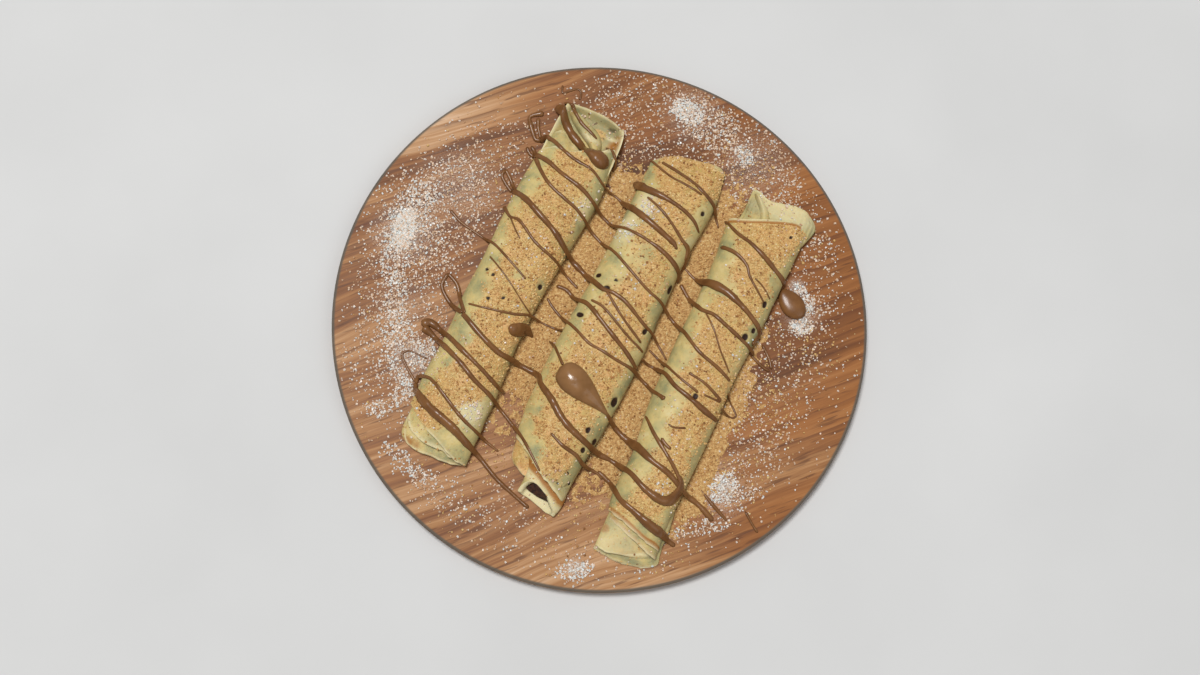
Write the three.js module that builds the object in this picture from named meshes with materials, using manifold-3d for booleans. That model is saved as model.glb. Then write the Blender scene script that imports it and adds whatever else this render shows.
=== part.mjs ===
// Three rolled crepes with chocolate drizzle on a round wooden serving board.
// Millimetres, +Z up. The origin is the middle of the board's underside.
import * as THREE from 'three';
import { mergeVertices } from 'three/addons/utils/BufferGeometryUtils.js';
import Module from 'manifold-3d';

const wasm = await Module();
wasm.setup();

// ---- Driving dimensions -------------------------------------------------------------------

const boardDiameter = 320;
const boardThickness = 10;
const boardEdgeRadius = 2.4;
const boardSides = 72;
const boardArcPoints = 2;

const sheetThickness = 1.4;
const restGap = 0.4;
const rollHeight = 17;
const swellPitch = 19;
const ripplePitch = 8.3;
const rippleShare = 0.7;
const rippleSlant = 11;
const swellDepth = 0.018;
const bellyShare = 0.3;
const sideSquareness = 2.6;
const topSquareness = 1.8;
const footShare = 0.6;

const ringPoints = 20;
const stationPitch = 12;

const dropHeight = 4.6;
const poolHeight = 3.4;
const dropGap = 0.7;
const dropTipHalfWidth = 0.4;
const dropSteps = 10;
const dropRingPoints = 14;

const strandSides = 6;
const strandPitch = 8;
const strandSink = 0.12;
const strandRise = 0.42;
const strandTip = 0.55;
const shortestStrand = 5;
const strandEdge = 0.93;
const boardStrandMargin = 4.6;
const marginChecks = 12;

const weldDistance = 1e-4;

// ---- Small maths --------------------------------------------------------------------------

const clamp = THREE.MathUtils.clamp;
const lerp = THREE.MathUtils.lerp;

// A smooth curve y(x) through a few [x, y] points, level beyond its ends.
function curve(points) {
  const slopes = points.map((point, i) => {
    const before = points[Math.max(i - 1, 0)];
    const after = points[Math.min(i + 1, points.length - 1)];
    return (after[1] - before[1]) / (after[0] - before[0]);
  });
  return x => {
    const last = points.length - 1;
    if (x <= points[0][0]) return points[0][1];
    if (x >= points[last][0]) return points[last][1];
    const i = points.findIndex((point, k) => k < last && x < points[k + 1][0]);
    const width = points[i + 1][0] - points[i][0];
    const f = (x - points[i][0]) / width;
    const h1 = f * f * (3 - 2 * f);
    const h2 = f * (1 - f) * (1 - f) * width;
    const h3 = f * f * (f - 1) * width;
    return lerp(points[i][1], points[i + 1][1], h1) + h2 * slopes[i] + h3 * slopes[i + 1];
  };
}

function ease(x) {
  return THREE.MathUtils.smoothstep(x, 0, 1);
}

// ---- Closed bodies ------------------------------------------------------------------------

// Each row is a ring of points. Rows are joined into a skin and both ends are stitched shut
// straight across, so a thin ring closes like a seam.
function skin(rows) {
  const n = rows[0].length;
  const faces = [];
  for (let k = 0; k + 1 < rows.length; k++) {
    for (let j = 0; j < n; j++) {
      const a = k * n + j;
      const b = k * n + ((j + 1) % n);
      faces.push(a, b, b + n, a, b + n, a + n);
    }
  }
  for (const [first, flip] of [[0, true], [(rows.length - 1) * n, false]]) {
    for (let j = 0; j < n / 2; j++) {
      const a = first + j;
      const b = first + j + 1;
      const c = first + n - j - 1;
      const d = first + ((n - j) % n);
      if (b !== c) faces.push(...(flip ? [a, c, b] : [a, b, c]));
      if (a !== d) faces.push(...(flip ? [a, d, c] : [a, c, d]));
    }
  }
  const geometry = new THREE.BufferGeometry();
  const coordinates = rows.flat().flatMap(point => [point.x, point.y, point.z]);
  geometry.setAttribute('position', new THREE.Float32BufferAttribute(coordinates, 3));
  geometry.setIndex(faces);
  return geometry;
}

function signedVolume(vertices, faces) {
  let six = 0;
  const p = i => new THREE.Vector3().fromArray(vertices, 3 * i);
  for (let i = 0; i < faces.length; i += 3) {
    six += p(faces[i]).dot(p(faces[i + 1]).cross(p(faces[i + 2])));
  }
  return six / 6;
}

function solid(geometry) {
  const bare = geometry.clone();
  bare.deleteAttribute('normal');
  bare.deleteAttribute('uv');
  const merged = mergeVertices(bare, weldDistance);
  const vertices = new Float32Array(merged.attributes.position.array);
  let faces = Uint32Array.from(merged.index.array);
  if (signedVolume(vertices, faces) < 0) faces = faces.reverse();
  return new wasm.Manifold(new wasm.Mesh({ numProp: 3, vertProperties: vertices, triVerts: faces }));
}

function meshOf(name, body, material) {
  const result = body.getMesh();
  const geometry = new THREE.BufferGeometry();
  const coordinates = Float32Array.from(result.vertProperties);
  geometry.setAttribute('position', new THREE.BufferAttribute(coordinates, 3));
  geometry.setIndex(Array.from(result.triVerts));
  geometry.computeVertexNormals();
  const mesh = new THREE.Mesh(geometry, material);
  mesh.name = name;
  return mesh;
}

// ---- Crepes -------------------------------------------------------------------------------

// Every crepe has its own plan frame: s runs along the roll from its upper end to its lower
// end, t runs across it to the right. heading is the turn of the roll from -Y towards -X.
// A crepe is a stack of layers of rolled sheet. Each layer has side curves t(s), end curves
// s(t), a height above the board, and heights that it eases to over a length at its ends.

const crepes = {
  left: {
    centre: [-53.8, 21.1],
    heading: 26,
    wave: 0.4,
    layers: [
      {
        // outer turn of the roll
        left: [[-90, -21], [-49, -23], [-10, -22.3], [14, -22.6], [43, -21.3], [75, -22], [95, -21]],
        right: [[-100, 21.5], [-70, 25], [-40, 22.8], [0, 20], [30, 19.5], [60, 21.8], [105, 23.5]],
        start: [[-21, -82], [-14, -86.5], [-5, -86.5], [3, -91], [12, -95], [21.5, -102]],
        end: [[-21, 90], [-12, 96.5], [-6, 99.5], [1, 102], [11, 106.5], [17, 108.5], [23.5, 109]],
        height: rollHeight,
        startHeight: 13,
        startEase: 26,
        endHeight: 11,
        endEase: 34,
      },
      {
        // inner turns that stick out at the lower end
        left: [[60, -20], [95, -20], [106, -19], [112, -15]],
        right: [[60, 19], [105, 22.5], [112, 20]],
        start: [[-20, 60], [20, 60]],
        end: [[-20, 96], [-17, 106], [-12, 111.5], [-6, 112.5], [4, 112], [12, 111.5], [20, 109.8]],
        height: 13,
        endHeight: 5.5,
        endEase: 26,
      },
      {
        // tongue of the second turn at the upper end
        left: [[-99, -19], [-85, -20]],
        right: [[-99, -4.5], [-85, 12]],
        start: [[-20, -93], [-17, -97], [-11, -98.5], [-7, -96.5], [-4, -92], [12, -92]],
        end: [[-20, -70], [12, -70]],
        height: 12,
        startHeight: 9,
        startEase: 8,
      },
      {
        // folded strip across the open mouth
        left: [[-116, -18], [-110, -14], [-104, -6], [-97, 5], [-90, 9]],
        right: [[-116, -10], [-111, 0], [-108, 7], [-100, 12], [-90, 14]],
        start: [[-18, -114.5], [-10, -114.5], [0, -111], [7, -108.5], [14, -100]],
        end: [[-18, -88], [14, -88]],
        height: 10,
        startHeight: 6.5,
        startEase: 20,
      },
      {
        // lowest turn, an open tray with a raised lip
        left: [[-119, -17], [-105, -19], [-90, -20]],
        right: [[-120, 15], [-114, 19.5], [-105, 21.5], [-90, 22]],
        start: [[-17, -117.5], [-12, -119.5], [-6, -120.5], [4, -121], [12, -119.5], [18, -116.5]],
        end: [[-20, -80], [20, -80]],
        height: 4,
        startHeight: 3.4,
        startEase: 8,
        rim: 6.5,
      },
    ],
  },
  middle: {
    centre: [9.4, 3.9],
    heading: 26.6,
    wave: 1.9,
    layers: [
      {
        // outer turn of the roll, folded shut at the upper end
        left: [[-95, -23], [-60, -22.8], [-10, -22.8], [25, -24.6], [52, -24.5], [80, -23], [98, -20]],
        right: [
          [-105, 21], [-83, 24.5], [-50, 22.6], [-9, 23.3],
          [21, 24.8], [60, 24], [90, 21.4], [115, 20],
        ],
        start: [
          [-23, -95.5], [-19, -99], [-14, -102.5], [-8, -105],
          [2, -107.5], [16, -110], [21, -107.5],
        ],
        end: [[-21, 92], [-14, 96], [-7, 100.5], [2, 106], [11, 109], [20, 114]],
        height: rollHeight + 0.5,
        startHeight: 6,
        startEase: 30,
        endHeight: 13,
        endEase: 26,
      },
      {
        // inner tube that sticks out at the lower end
        left: [[60, -19], [92, -15], [104, -8], [112, -6], [122, -6.5]],
        right: [[60, 20], [100, 19.5], [117, 21.2], [125, 19.5]],
        start: [[-19, 60], [20, 60]],
        end: [[-6.5, 108.5], [2, 112.3], [10, 116], [18, 120.5]],
        foot: [[-6.5, 120.4], [2.6, 121.7], [10, 123.2], [18.4, 124.8]],
        height: 13.5,
        endHeight: 8.5,
        endEase: 22,
        lean: -0.16,
      },
      {
        // flap that lies out at the left of the tube
        left: [[84, -21], [98, -19.5], [104, -17.8], [108, -14.5]],
        right: [[84, -4], [104, 2], [112, -2]],
        start: [[-21, 80], [2, 80]],
        end: [[-19, 101], [-16.5, 106], [-13, 108.5], [-8, 110.5], [-2, 112]],
        height: 8,
        endHeight: 5,
        endEase: 16,
      },
    ],
  },
  right: {
    centre: [55, -41.4],
    heading: 24.9,
    wave: 3.3,
    layers: [
      {
        // outer turn of the roll
        left: [[-103, -23.5], [-64, -21], [-20, -22], [20, -21.5], [50, -18.5], [75, -19.5], [90, -17]],
        right: [[-116, 24], [-86, 22.6], [-50, 21.5], [-16, 19], [30, 19], [82, 17.5], [100, 19]],
        start: [[-23, -103.5], [-12, -107], [-1, -111.5], [12, -116.5], [18, -117.5], [24, -116]],
        end: [[-18, 87], [-9, 89.5], [-0.6, 92], [8, 95], [16, 96], [19, 97]],
        height: rollHeight,
        startHeight: 10.5,
        startEase: 26,
        endHeight: 12.5,
        endEase: 24,
      },
      {
        // flap under the upper end, curled up at its right corner
        left: [[-126, -17.3], [-112, -17], [-95, -20]],
        right: [[-124, 22], [-119, 25.6], [-112, 24.4], [-100, 21]],
        start: [
          [-17.3, -125.5], [-13, -125.5], [-8, -123.4], [-2, -123.7],
          [10, -126], [19, -126], [25, -121],
        ],
        end: [[-20, -90], [20, -90]],
        height: 8,
        startHeight: 4,
        startEase: 12,
        lean: 0.12,
      },
      {
        // pleat that stands up as an ear
        left: [[-126, -17.2], [-121, -14.5], [-114, -8], [-100, -6]],
        right: [[-126, -14], [-121, -8.5], [-114, 1], [-100, 4]],
        start: [[-17.2, -125.8], [-14, -125.8], [-8, -121.5], [1, -114.5]],
        end: [[-12, -98], [4, -98]],
        height: 9.8,
        startHeight: 7.4,
        startEase: 12,
      },
      {
        // second turn at the lower end
        left: [[60, -18], [92, -15.8]],
        right: [[60, 17.5], [92, 18], [101, 19]],
        start: [[-18, 60], [18, 60]],
        end: [[-15.6, 90.5], [-8, 91.7], [0.4, 94], [9.3, 96.7], [15, 98.6], [19, 100.4]],
        height: 12.5,
        endHeight: 9,
        endEase: 18,
      },
      {
        // third turn, pressed flat
        left: [[60, -16.5], [92, -16.4], [109, -16.5]],
        right: [[60, 17], [100, 18.2], [109, 2]],
        start: [[-17, 60], [17, 60]],
        end: [[-16.5, 108.8], [-10.6, 109.4], [-6, 109.2], [2, 106.4], [12, 101.2], [18, 100]],
        height: 10,
        endHeight: 4.6,
        endEase: 26,
      },
      {
        // lowest turn
        left: [[80, -10], [100, -6], [110, 1]],
        right: [[80, 18], [98, 20.5], [104, 21], [110, 12]],
        start: [[-10, 80], [20, 80]],
        end: [[-6, 108.5], [3, 109.8], [8, 109.4], [12.5, 108.2], [17.7, 106], [21, 103.6]],
        height: 3,
        endHeight: 2.2,
        endEase: 10,
      },
    ],
  },
};

function makeLayer(crepe, spec) {
  const left = curve(spec.left);
  const right = curve(spec.right);
  const start = curve(spec.start);
  const end = curve(spec.end);
  const foot = curve(spec.foot ?? spec.end);
  const middle = s => (left(s) + right(s)) / 2;
  const half = s => (right(s) - left(s)) / 2;
  const lean = spec.lean ?? 0;

  function crest(s, t) {
    const swell = Math.sin(s / swellPitch + crepe.wave);
    const ripple = Math.sin(s / ripplePitch + t / rippleSlant + 2 * crepe.wave);
    let height = spec.height * (1 + swellDepth * (swell + rippleShare * ripple));
    const fromStart = (s - start(t)) / (spec.startEase ?? 1);
    const fromEnd = (end(t) - s) / (spec.endEase ?? 1);
    if (spec.startEase) height = lerp(spec.startHeight, height, ease(fromStart));
    if (spec.endEase) height = lerp(spec.endHeight, height, ease(fromEnd));
    return height + lean * (t - middle(s));
  }

  function top(s, t) {
    const u = clamp((t - middle(s)) / half(s), -1, 1);
    const high = crest(s, t);
    if (spec.rim) return high + (spec.rim - high) * Math.pow(Math.abs(u), 4);
    const belly = bellyShare * high;
    const round = Math.pow(1 - Math.pow(Math.abs(u), sideSquareness), 1 / topSquareness);
    return belly + (high - belly) * round;
  }

  function holds(s, t) {
    const u = (t - middle(s)) / half(s);
    return Math.abs(u) < strandEdge && s > start(t) && s < end(t);
  }

  function ring(v, angle) {
    const across = Math.cos(angle);
    const up = Math.sin(angle);
    const share = up >= 0 ? 2 / sideSquareness : footShare;
    const u = Math.sign(across) * Math.pow(Math.abs(across), share);
    const roughS = lerp(start(0), end(0), v);
    const roughT = middle(roughS) + u * half(roughS);
    const last = up >= 0 ? lerp(foot(roughT), end(roughT), up) : foot(roughT);
    const s = lerp(start(roughT), last, v);
    const t = middle(s) + u * half(s);
    const z = up >= 0 ? top(s, t) : top(s, t) * Math.max(0, 1 + up / footShare);
    return [s, t, z];
  }

  function body() {
    const count = Math.max(3, Math.round((end(0) - start(0)) / stationPitch));
    const rows = [];
    for (let k = 0; k <= count; k++) {
      const row = [];
      for (let j = 0; j < ringPoints; j++) {
        const [s, t, z] = ring(k / count, (2 * Math.PI * j) / ringPoints);
        row.push(planPoint(crepe, s, t, boardThickness + restGap + z));
      }
      rows.push(row);
    }
    return solid(skin(rows));
  }

  return { top, holds, body };
}

function planPoint(crepe, s, t, z) {
  const turn = THREE.MathUtils.degToRad(crepe.heading);
  const x = crepe.centre[0] - s * Math.sin(turn) + t * Math.cos(turn);
  const y = crepe.centre[1] - s * Math.cos(turn) - t * Math.sin(turn);
  return new THREE.Vector3(x, y, z);
}

function planOf(crepe, x, y) {
  const turn = THREE.MathUtils.degToRad(crepe.heading);
  const dx = x - crepe.centre[0];
  const dy = y - crepe.centre[1];
  const s = -dx * Math.sin(turn) - dy * Math.cos(turn);
  const t = dx * Math.cos(turn) - dy * Math.sin(turn);
  return [s, t];
}

for (const crepe of Object.values(crepes)) {
  crepe.parts = crepe.layers.map(spec => makeLayer(crepe, spec));
}

// Height of a crepe's upper surface over a plan point, or undefined beside the crepe.
function crepeTop(crepe, x, y) {
  const [s, t] = planOf(crepe, x, y);
  const heights = crepe.parts.filter(part => part.holds(s, t)).map(part => part.top(s, t));
  if (heights.length === 0) return undefined;
  return boardThickness + restGap + Math.max(...heights);
}

// ---- Filling of the middle crepe ----------------------------------------------------------

// The filling lies in a flat tunnel that runs along the roll, from a shut upper end to the
// open mouth of the inner tube. The tunnel leans with the mouth, high at its left.
const tunnelFrom = -84;
const tunnelTo = 136;
const fillingTo = 114;
const tunnelCeiling = 8.6;
const tunnelRingPoints = 12;
const tunnelPitch = 22;
const tunnelSquareness = 0.8;
const tubeFrom = 90;
const mouthReach = 116;
const tunnelMiddle = curve([[-85, 0], [60, 0.5], [92, 2.4], [104, 5.8], [112, 7.6], [122, 6.8]]);
const tunnelHalf = curve([[-85, 8], [60, 11], [92, 11], [112, 10.8], [130, 11]]);

function tunnelBody(to, inset) {
  const tube = crepes.middle.parts[1];
  const count = Math.round((to - tunnelFrom) / tunnelPitch);
  const rows = [];
  for (let k = 0; k <= count; k++) {
    const s = tunnelFrom + k * tunnelPitch + (k === 0 ? inset : 0);
    const half = tunnelHalf(s) - inset;
    const row = [];
    for (let j = 0; j < tunnelRingPoints; j++) {
      const angle = (2 * Math.PI * j) / tunnelRingPoints;
      const t = tunnelMiddle(s) + half * Math.cos(angle);
      const tubeRoof = tube.top(Math.min(s, mouthReach), t) - sheetThickness;
      const under = s > tubeFrom ? tubeRoof : tunnelCeiling;
      const ceiling = Math.min(tunnelCeiling, under) - inset;
      const floor = sheetThickness + inset;
      const up = Math.sin(angle);
      const rise = Math.sign(up) * Math.pow(Math.abs(up), tunnelSquareness);
      const z = (floor + ceiling) / 2 + ((ceiling - floor) / 2) * rise;
      row.push(planPoint(crepes.middle, s, t, boardThickness + restGap + z));
    }
    rows.push(row);
  }
  return solid(skin(rows));
}

// ---- Chocolate ----------------------------------------------------------------------------

// Routes of the thicker strands in plan, as x, y and width, each poured in one pass.
const strands = [
  [
    [-29, 133, 3], [-24.5, 129, 4], [-21.5, 119, 4.2], [-15.5, 109.5, 5],
    [-8, 100.5, 7], [-2.5, 96.5, 9.5], [2, 93, 6],
  ],
  [[-36.5, 110.5, 3], [-30, 110, 2.8], [-16, 96, 2.6], [-5.5, 89, 2.2]],
  [[10, 76, 2], [20, 64.5, 4.2], [31.5, 53.5, 3.8], [42, 44, 3]],
  [[-40, 101.5, 3.6], [-23.5, 86.5, 2.8], [-11.5, 76.5, 2.7], [1.5, 63.5, 2.4]],
  [[28, 45, 2.4], [40.5, 34, 3.6], [46, 27, 3]],
  [
    [-38, 94, 2.4], [-31, 79.5, 2.3], [-14.5, 64, 2.3], [6, 40.5, 2.2],
    [26.5, 15, 2.2], [44.5, -3, 2.2], [66, -30.5, 2.4],
  ],
  [
    [-53.5, 79, 3], [-44.5, 70, 3.6], [-28.5, 51, 3.6], [-11, 29.5, 3.6],
    [-1, 17, 3], [13, 8, 2.4], [24, -5, 2.2],
  ],
  [[-57, -6, 5.6], [-50.5, -8, 7], [-45, -7, 4.4]],
  [[-27, 21.5, 2.4], [-20.5, 18.5, 2.7], [-9, 7.5, 2.7], [7.5, -14.5, 2.7], [20, -31, 2.5]],
  [[-82.5, 2, 3.6], [-60.5, -22, 3.4], [-50.5, -26, 3.6], [-38, -33.5, 3.3]],
  [[-36.5, -39.5, 3], [-30, -50, 4.2], [-18.5, -67.5, 4.2], [-6.5, -77.5, 3.9], [14.5, -91.5, 3]],
  [
    [14.5, -91.5, 3], [22, -100.5, 3.6], [29.5, -106.5, 5.2],
    [36, -108.5, 5.6], [42, -104.5, 5], [44.5, -98, 3.2],
  ],
  [[-107, -2.5, 6.5], [-96, -5.5, 3.2], [-82, -20.5, 3], [-60.5, -42, 2.4]],
  [[-100, -9, 3.4], [-83, -28, 3], [-65, -47.5, 2.7], [-54, -61, 2.2]],
  [[-104.5, -34.5, 2.4], [-92.5, -46.5, 2.2], [-81.5, -60.5, 2.2], [-71, -70, 2]],
  [
    [-109.5, -41, 3], [-101.5, -53, 5.4], [-87.5, -65.5, 5.4],
    [-79.5, -74, 4.2], [-62, -94, 2.7], [-43.5, -111, 2.4],
  ],
  [[7, -62, 3], [18.5, -75.5, 4.8], [26.5, -84.5, 3.6], [42, -98, 3], [55, -109, 3.6], [63, -118, 3]],
  [[-31, -69, 1.8], [-24, -76.5, 2.2], [-14, -84, 2.8]],
  [[4, -97, 3], [16.5, -114, 3.6], [25.5, -122, 5.2], [33, -127.5, 4.6]],
  [[28.5, -68.5, 2.1], [34, -78.5, 2.4], [43, -96, 2.4]],
  [[39, 96, 2], [54.5, 82.5, 2.3], [68, 68.5, 2.6]],
  [[21, 84, 4.4], [25.5, 79, 5.6], [39, 70.5, 3], [55, 57.5, 2.2]],
  [[41, 56, 2], [51.5, 41.5, 3.4], [47, 28.5, 2.4]],
  [[81, 51.5, 2.4], [95.5, 36, 3], [104, 26, 3]],
  [[72, 43, 2.4], [79.5, 37.5, 2.4], [85.5, 30, 2]],
  [[57, 25, 2.6], [65, 20, 5], [73.5, 14, 4.8], [88, -1.5, 3.3], [92, -12, 3]],
  [[54, 10, 2.4], [65, 0.5, 2.4], [80.5, -13.5, 2.4], [90, -20.5, 2.4]],
  [[35, -32, 2.4], [49.5, -48.5, 3], [59.5, -57, 3.4], [67, -62, 3]],
];

// A strand is a tube with an oval section, half sunk in what it lies on.
function strandBody(run) {
  const rows = run.map((point, i) => {
    const before = run[Math.max(i - 1, 0)];
    const after = run[Math.min(i + 1, run.length - 1)];
    const heading = new THREE.Vector2(after.x - before.x, after.y - before.y).normalize();
    const tip = i === 0 || i === run.length - 1 ? strandTip : 1;
    const row = [];
    for (let j = 0; j < strandSides; j++) {
      const angle = (2 * Math.PI * j) / strandSides;
      const across = 0.5 * point.width * tip * Math.cos(angle);
      const up = strandRise * point.width * tip * Math.sin(angle) + strandSink * point.width;
      const x = point.x - across * heading.y;
      const y = point.y + across * heading.x;
      row.push(new THREE.Vector3(x, y, point.z + up));
    }
    return row;
  });
  return solid(skin(rows));
}

// Cuts a route into the stretches that lie on one carrier. carrierTop gives the height under a
// plan point, or undefined where the carrier isn't under it.
function strandsOn(carrierTop) {
  const bodies = [];
  for (const route of strands) {
    const knots = route.map(point => new THREE.Vector3(...point));
    const path = new THREE.CatmullRomCurve3(knots, false, 'centripetal');
    const samples = Math.round(path.getLength());
    let run = [];
    for (let i = 0; i <= samples; i++) {
      const { x, y, z: width } = path.getPointAt(i / samples);
      const z = carrierTop(x, y);
      if (z !== undefined) run.push({ x, y, z, width });
      if ((z === undefined || i === samples) && run.length) {
        if (run.length > shortestStrand) {
          const steps = Math.max(2, Math.round(run.length / strandPitch));
          const picked = [];
          for (let k = 0; k <= steps; k++) picked.push(run[Math.round((k * (run.length - 1)) / steps)]);
          bodies.push(strandBody(picked));
        }
        run = [];
      }
    }
  }
  return bodies;
}

// A drop is a rounded pat of chocolate along an axis, with a half-width for each share of its
// length. It lies on a surface, and its underside follows that surface.
function dropBody({ from, to, widths, height, under }) {
  const axis = new THREE.Vector2(to[0] - from[0], to[1] - from[1]);
  const side = new THREE.Vector2(axis.y, -axis.x).normalize();
  const halfWidth = curve(widths);
  const widest = Math.max(...widths.map(pair => pair[1]));
  const rows = [];
  for (let k = 0; k <= dropSteps; k++) {
    const share = 0.5 - 0.5 * Math.cos((Math.PI * k) / dropSteps);
    const half = Math.max(halfWidth(share), dropTipHalfWidth);
    const thick = height * Math.sqrt(half / widest);
    const row = [];
    for (let j = 0; j < dropRingPoints; j++) {
      const angle = (2 * Math.PI * j) / dropRingPoints;
      const across = half * Math.cos(angle);
      const x = from[0] + share * axis.x + across * side.x;
      const y = from[1] + share * axis.y + across * side.y;
      const lift = Math.max(0, thick * Math.sin(angle));
      row.push(new THREE.Vector3(x, y, under(x, y) + dropGap + lift));
    }
    rows.push(row);
  }
  return solid(skin(rows));
}

// ---- Materials ----------------------------------------------------------------------------

const finish = (color, roughness) => new THREE.MeshStandardMaterial({ color, roughness, metalness: 0 });
const wood = finish(0xa87a58, 0.55);
const crepeSkin = finish(0xd8c48c, 0.7);
const chocolate = finish(0x7d5738, 0.25);
const darkFilling = finish(0x3a2016, 0.35);

// ---- Board --------------------------------------------------------------------------------

function boardSolid() {
  const radius = boardDiameter / 2;
  const shape = new THREE.Path();
  shape.moveTo(0, 0);
  shape.lineTo(radius - boardEdgeRadius, 0);
  shape.absarc(radius - boardEdgeRadius, boardEdgeRadius, boardEdgeRadius, -Math.PI / 2, 0, false);
  const topCentre = boardThickness - boardEdgeRadius;
  shape.absarc(radius - boardEdgeRadius, topCentre, boardEdgeRadius, 0, Math.PI / 2, false);
  shape.lineTo(0, boardThickness);
  const profile = shape.getPoints(boardArcPoints);
  const apart = (point, i) => i === 0 || point.distanceTo(profile[i - 1]) > weldDistance;
  const clean = profile.filter(apart);
  return solid(new THREE.LatheGeometry(clean, boardSides).rotateX(Math.PI / 2));
}

// The board carries a strand only where every crepe is well clear of it.
function boardTop(x, y) {
  const all = Object.values(crepes);
  const covered = (px, py) => all.some(crepe => crepeTop(crepe, px, py) !== undefined);
  if (covered(x, y)) return undefined;
  for (let k = 0; k < marginChecks; k++) {
    const angle = (2 * Math.PI * k) / marginChecks;
    const px = x + boardStrandMargin * Math.cos(angle);
    const py = y + boardStrandMargin * Math.sin(angle);
    if (covered(px, py)) return undefined;
  }
  return boardThickness;
}

function joined(bodies) {
  return bodies.reduce((whole, body) => whole.add(body));
}

// ---- Assembly -----------------------------------------------------------------------------

const group = new THREE.Group();

group.add(meshOf('board', joined([boardSolid(), ...strandsOn(boardTop)]), wood));

for (const [side, crepe] of Object.entries(crepes)) {
  const sheets = crepe.parts.map(part => part.body());
  const drizzle = strandsOn((x, y) => crepeTop(crepe, x, y));
  let body = joined([...sheets, ...drizzle]);
  if (side === 'middle') body = body.subtract(tunnelBody(tunnelTo, 0));
  group.add(meshOf(`crepe_${side}`, body, crepeSkin));
}

group.add(meshOf('filling_middle', tunnelBody(fillingTo, restGap), darkFilling));

const tear = dropBody({
  from: [-25.6, -30.5],
  to: [2.7, -58.4],
  widths: [[0, 0.8], [0.05, 5.4], [0.12, 7.4], [0.25, 8.6], [0.42, 7.8], [0.6, 5.8], [0.8, 3], [1, 0.7]],
  height: dropHeight,
  under: (x, y) => {
    const roll = crepes.middle.parts[0];
    return boardThickness + restGap + roll.top(...planOf(crepes.middle, x, y));
  },
});
group.add(meshOf('chocolate_drop', tear, chocolate));

const pool = dropBody({
  from: [108, 19],
  to: [120.5, 2],
  widths: [[0, 1.5], [0.15, 4.4], [0.4, 6.6], [0.65, 7], [0.88, 4.8], [1, 1.8]],
  height: poolHeight,
  under: () => boardThickness,
});
group.add(meshOf('chocolate_pool', pool, chocolate));

export default group;
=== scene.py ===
# Three rolled crepes with chocolate drizzle on a round wooden serving board. Metres, +Z up.
import math

import bmesh
import bpy
import numpy as np
from mathutils import Matrix, Vector
from mathutils.bvhtree import BVHTree
from mathutils.kdtree import KDTree


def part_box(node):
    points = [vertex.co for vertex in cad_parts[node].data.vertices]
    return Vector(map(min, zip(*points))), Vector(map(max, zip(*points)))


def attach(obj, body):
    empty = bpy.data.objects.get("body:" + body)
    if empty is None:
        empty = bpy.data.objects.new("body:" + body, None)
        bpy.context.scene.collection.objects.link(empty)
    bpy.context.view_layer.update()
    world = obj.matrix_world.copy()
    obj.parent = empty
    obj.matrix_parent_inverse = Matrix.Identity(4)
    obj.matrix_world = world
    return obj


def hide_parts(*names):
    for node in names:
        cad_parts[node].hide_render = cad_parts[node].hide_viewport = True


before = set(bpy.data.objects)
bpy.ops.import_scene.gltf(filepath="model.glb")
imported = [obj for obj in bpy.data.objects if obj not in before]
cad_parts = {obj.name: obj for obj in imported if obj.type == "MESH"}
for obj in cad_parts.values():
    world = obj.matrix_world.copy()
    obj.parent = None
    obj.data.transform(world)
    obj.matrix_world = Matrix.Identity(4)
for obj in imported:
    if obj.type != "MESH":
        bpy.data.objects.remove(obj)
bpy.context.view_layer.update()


# ---- Serving board ------------------------------------------------------------------------
# A round board of oiled acacia, sawn from one wide plank, sanded flat on both faces and turned
# to a rounded rim, which is painted dark grey.

MM = 0.001
board_low, board_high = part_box("board")
board_radius = (board_high.x - board_low.x) / 2
board_thickness = 10 * MM
board_edge_radius = 2.4 * MM
board_edge_steps = 6
board_turn_steps = 180
board_rings = (0.25, 0.5, 0.75)
grain_heading = math.radians(20)
# How far the grain wanders sideways, in slow bends and in quick ones.
slow_bends, quick_bends = 34 * MM, 7 * MM
# How fast the pattern changes with the depth, as a share of how fast it changes across the top.
depth_share = 0.35
# The rim is painted dark grey: how far in from the edge and down from the top the grey starts, and
# is full.
rim_from, rim_full = 2.6 * MM, 1.2 * MM
# Where fine sugar dust has settled on the wood, as x, y, radius in millimetres and thickness.
dusty_places = [
    (-118, 54, 26, 0.6), (-118, 10, 22, 0.2), (-112, -26, 20, 0.4), (58, 130, 26, 0.4),
    (-86, 84, 34, 0.3), (120, 4, 16, 0.5), (66, -102, 24, 0.5), (94, 98, 34, 0.3),
]
# Where it lies so thick and clean that it is bluish white.
clean_places = [
    (-117, 60, 13, 0.95), (-119, 50, 10, 0.7), (-117, -18, 9, 0.6), (88, 104, 8, 0.6),
    (-106, -20, 7, 0.6), (55, 131, 9, 0.75), (118, 21, 7, 0.8), (119, 0, 8, 0.8),
    (69, -99, 10, 0.6), (-17, -146, 8, 0.6),
]


def paint(red, green, blue):
    """A display colour, 0 to 255, as the linear colour that a shader takes."""
    shares = [channel / 255 for channel in (red, green, blue)]
    linear = [s / 12.92 if s <= 0.04045 else ((s + 0.055) / 1.055) ** 2.4 for s in shares]
    return (*linear, 1.0)


def new_finish(name, roughness):
    material = bpy.data.materials.new(name)
    material.use_nodes = True
    tree = material.node_tree
    shader = tree.nodes["Principled BSDF"]
    shader.inputs["Roughness"].default_value = roughness
    return material, tree, shader


def add(tree, kind, inputs=None, **settings):
    """A new shader node with its settings, and each input linked or given its value."""
    node = tree.nodes.new(kind)
    for key, value in settings.items():
        setattr(node, key, value)
    for key, value in (inputs or {}).items():
        if isinstance(value, bpy.types.NodeSocket):
            tree.links.new(value, node.inputs[key])
        else:
            node.inputs[key].default_value = value
    return node


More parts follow.
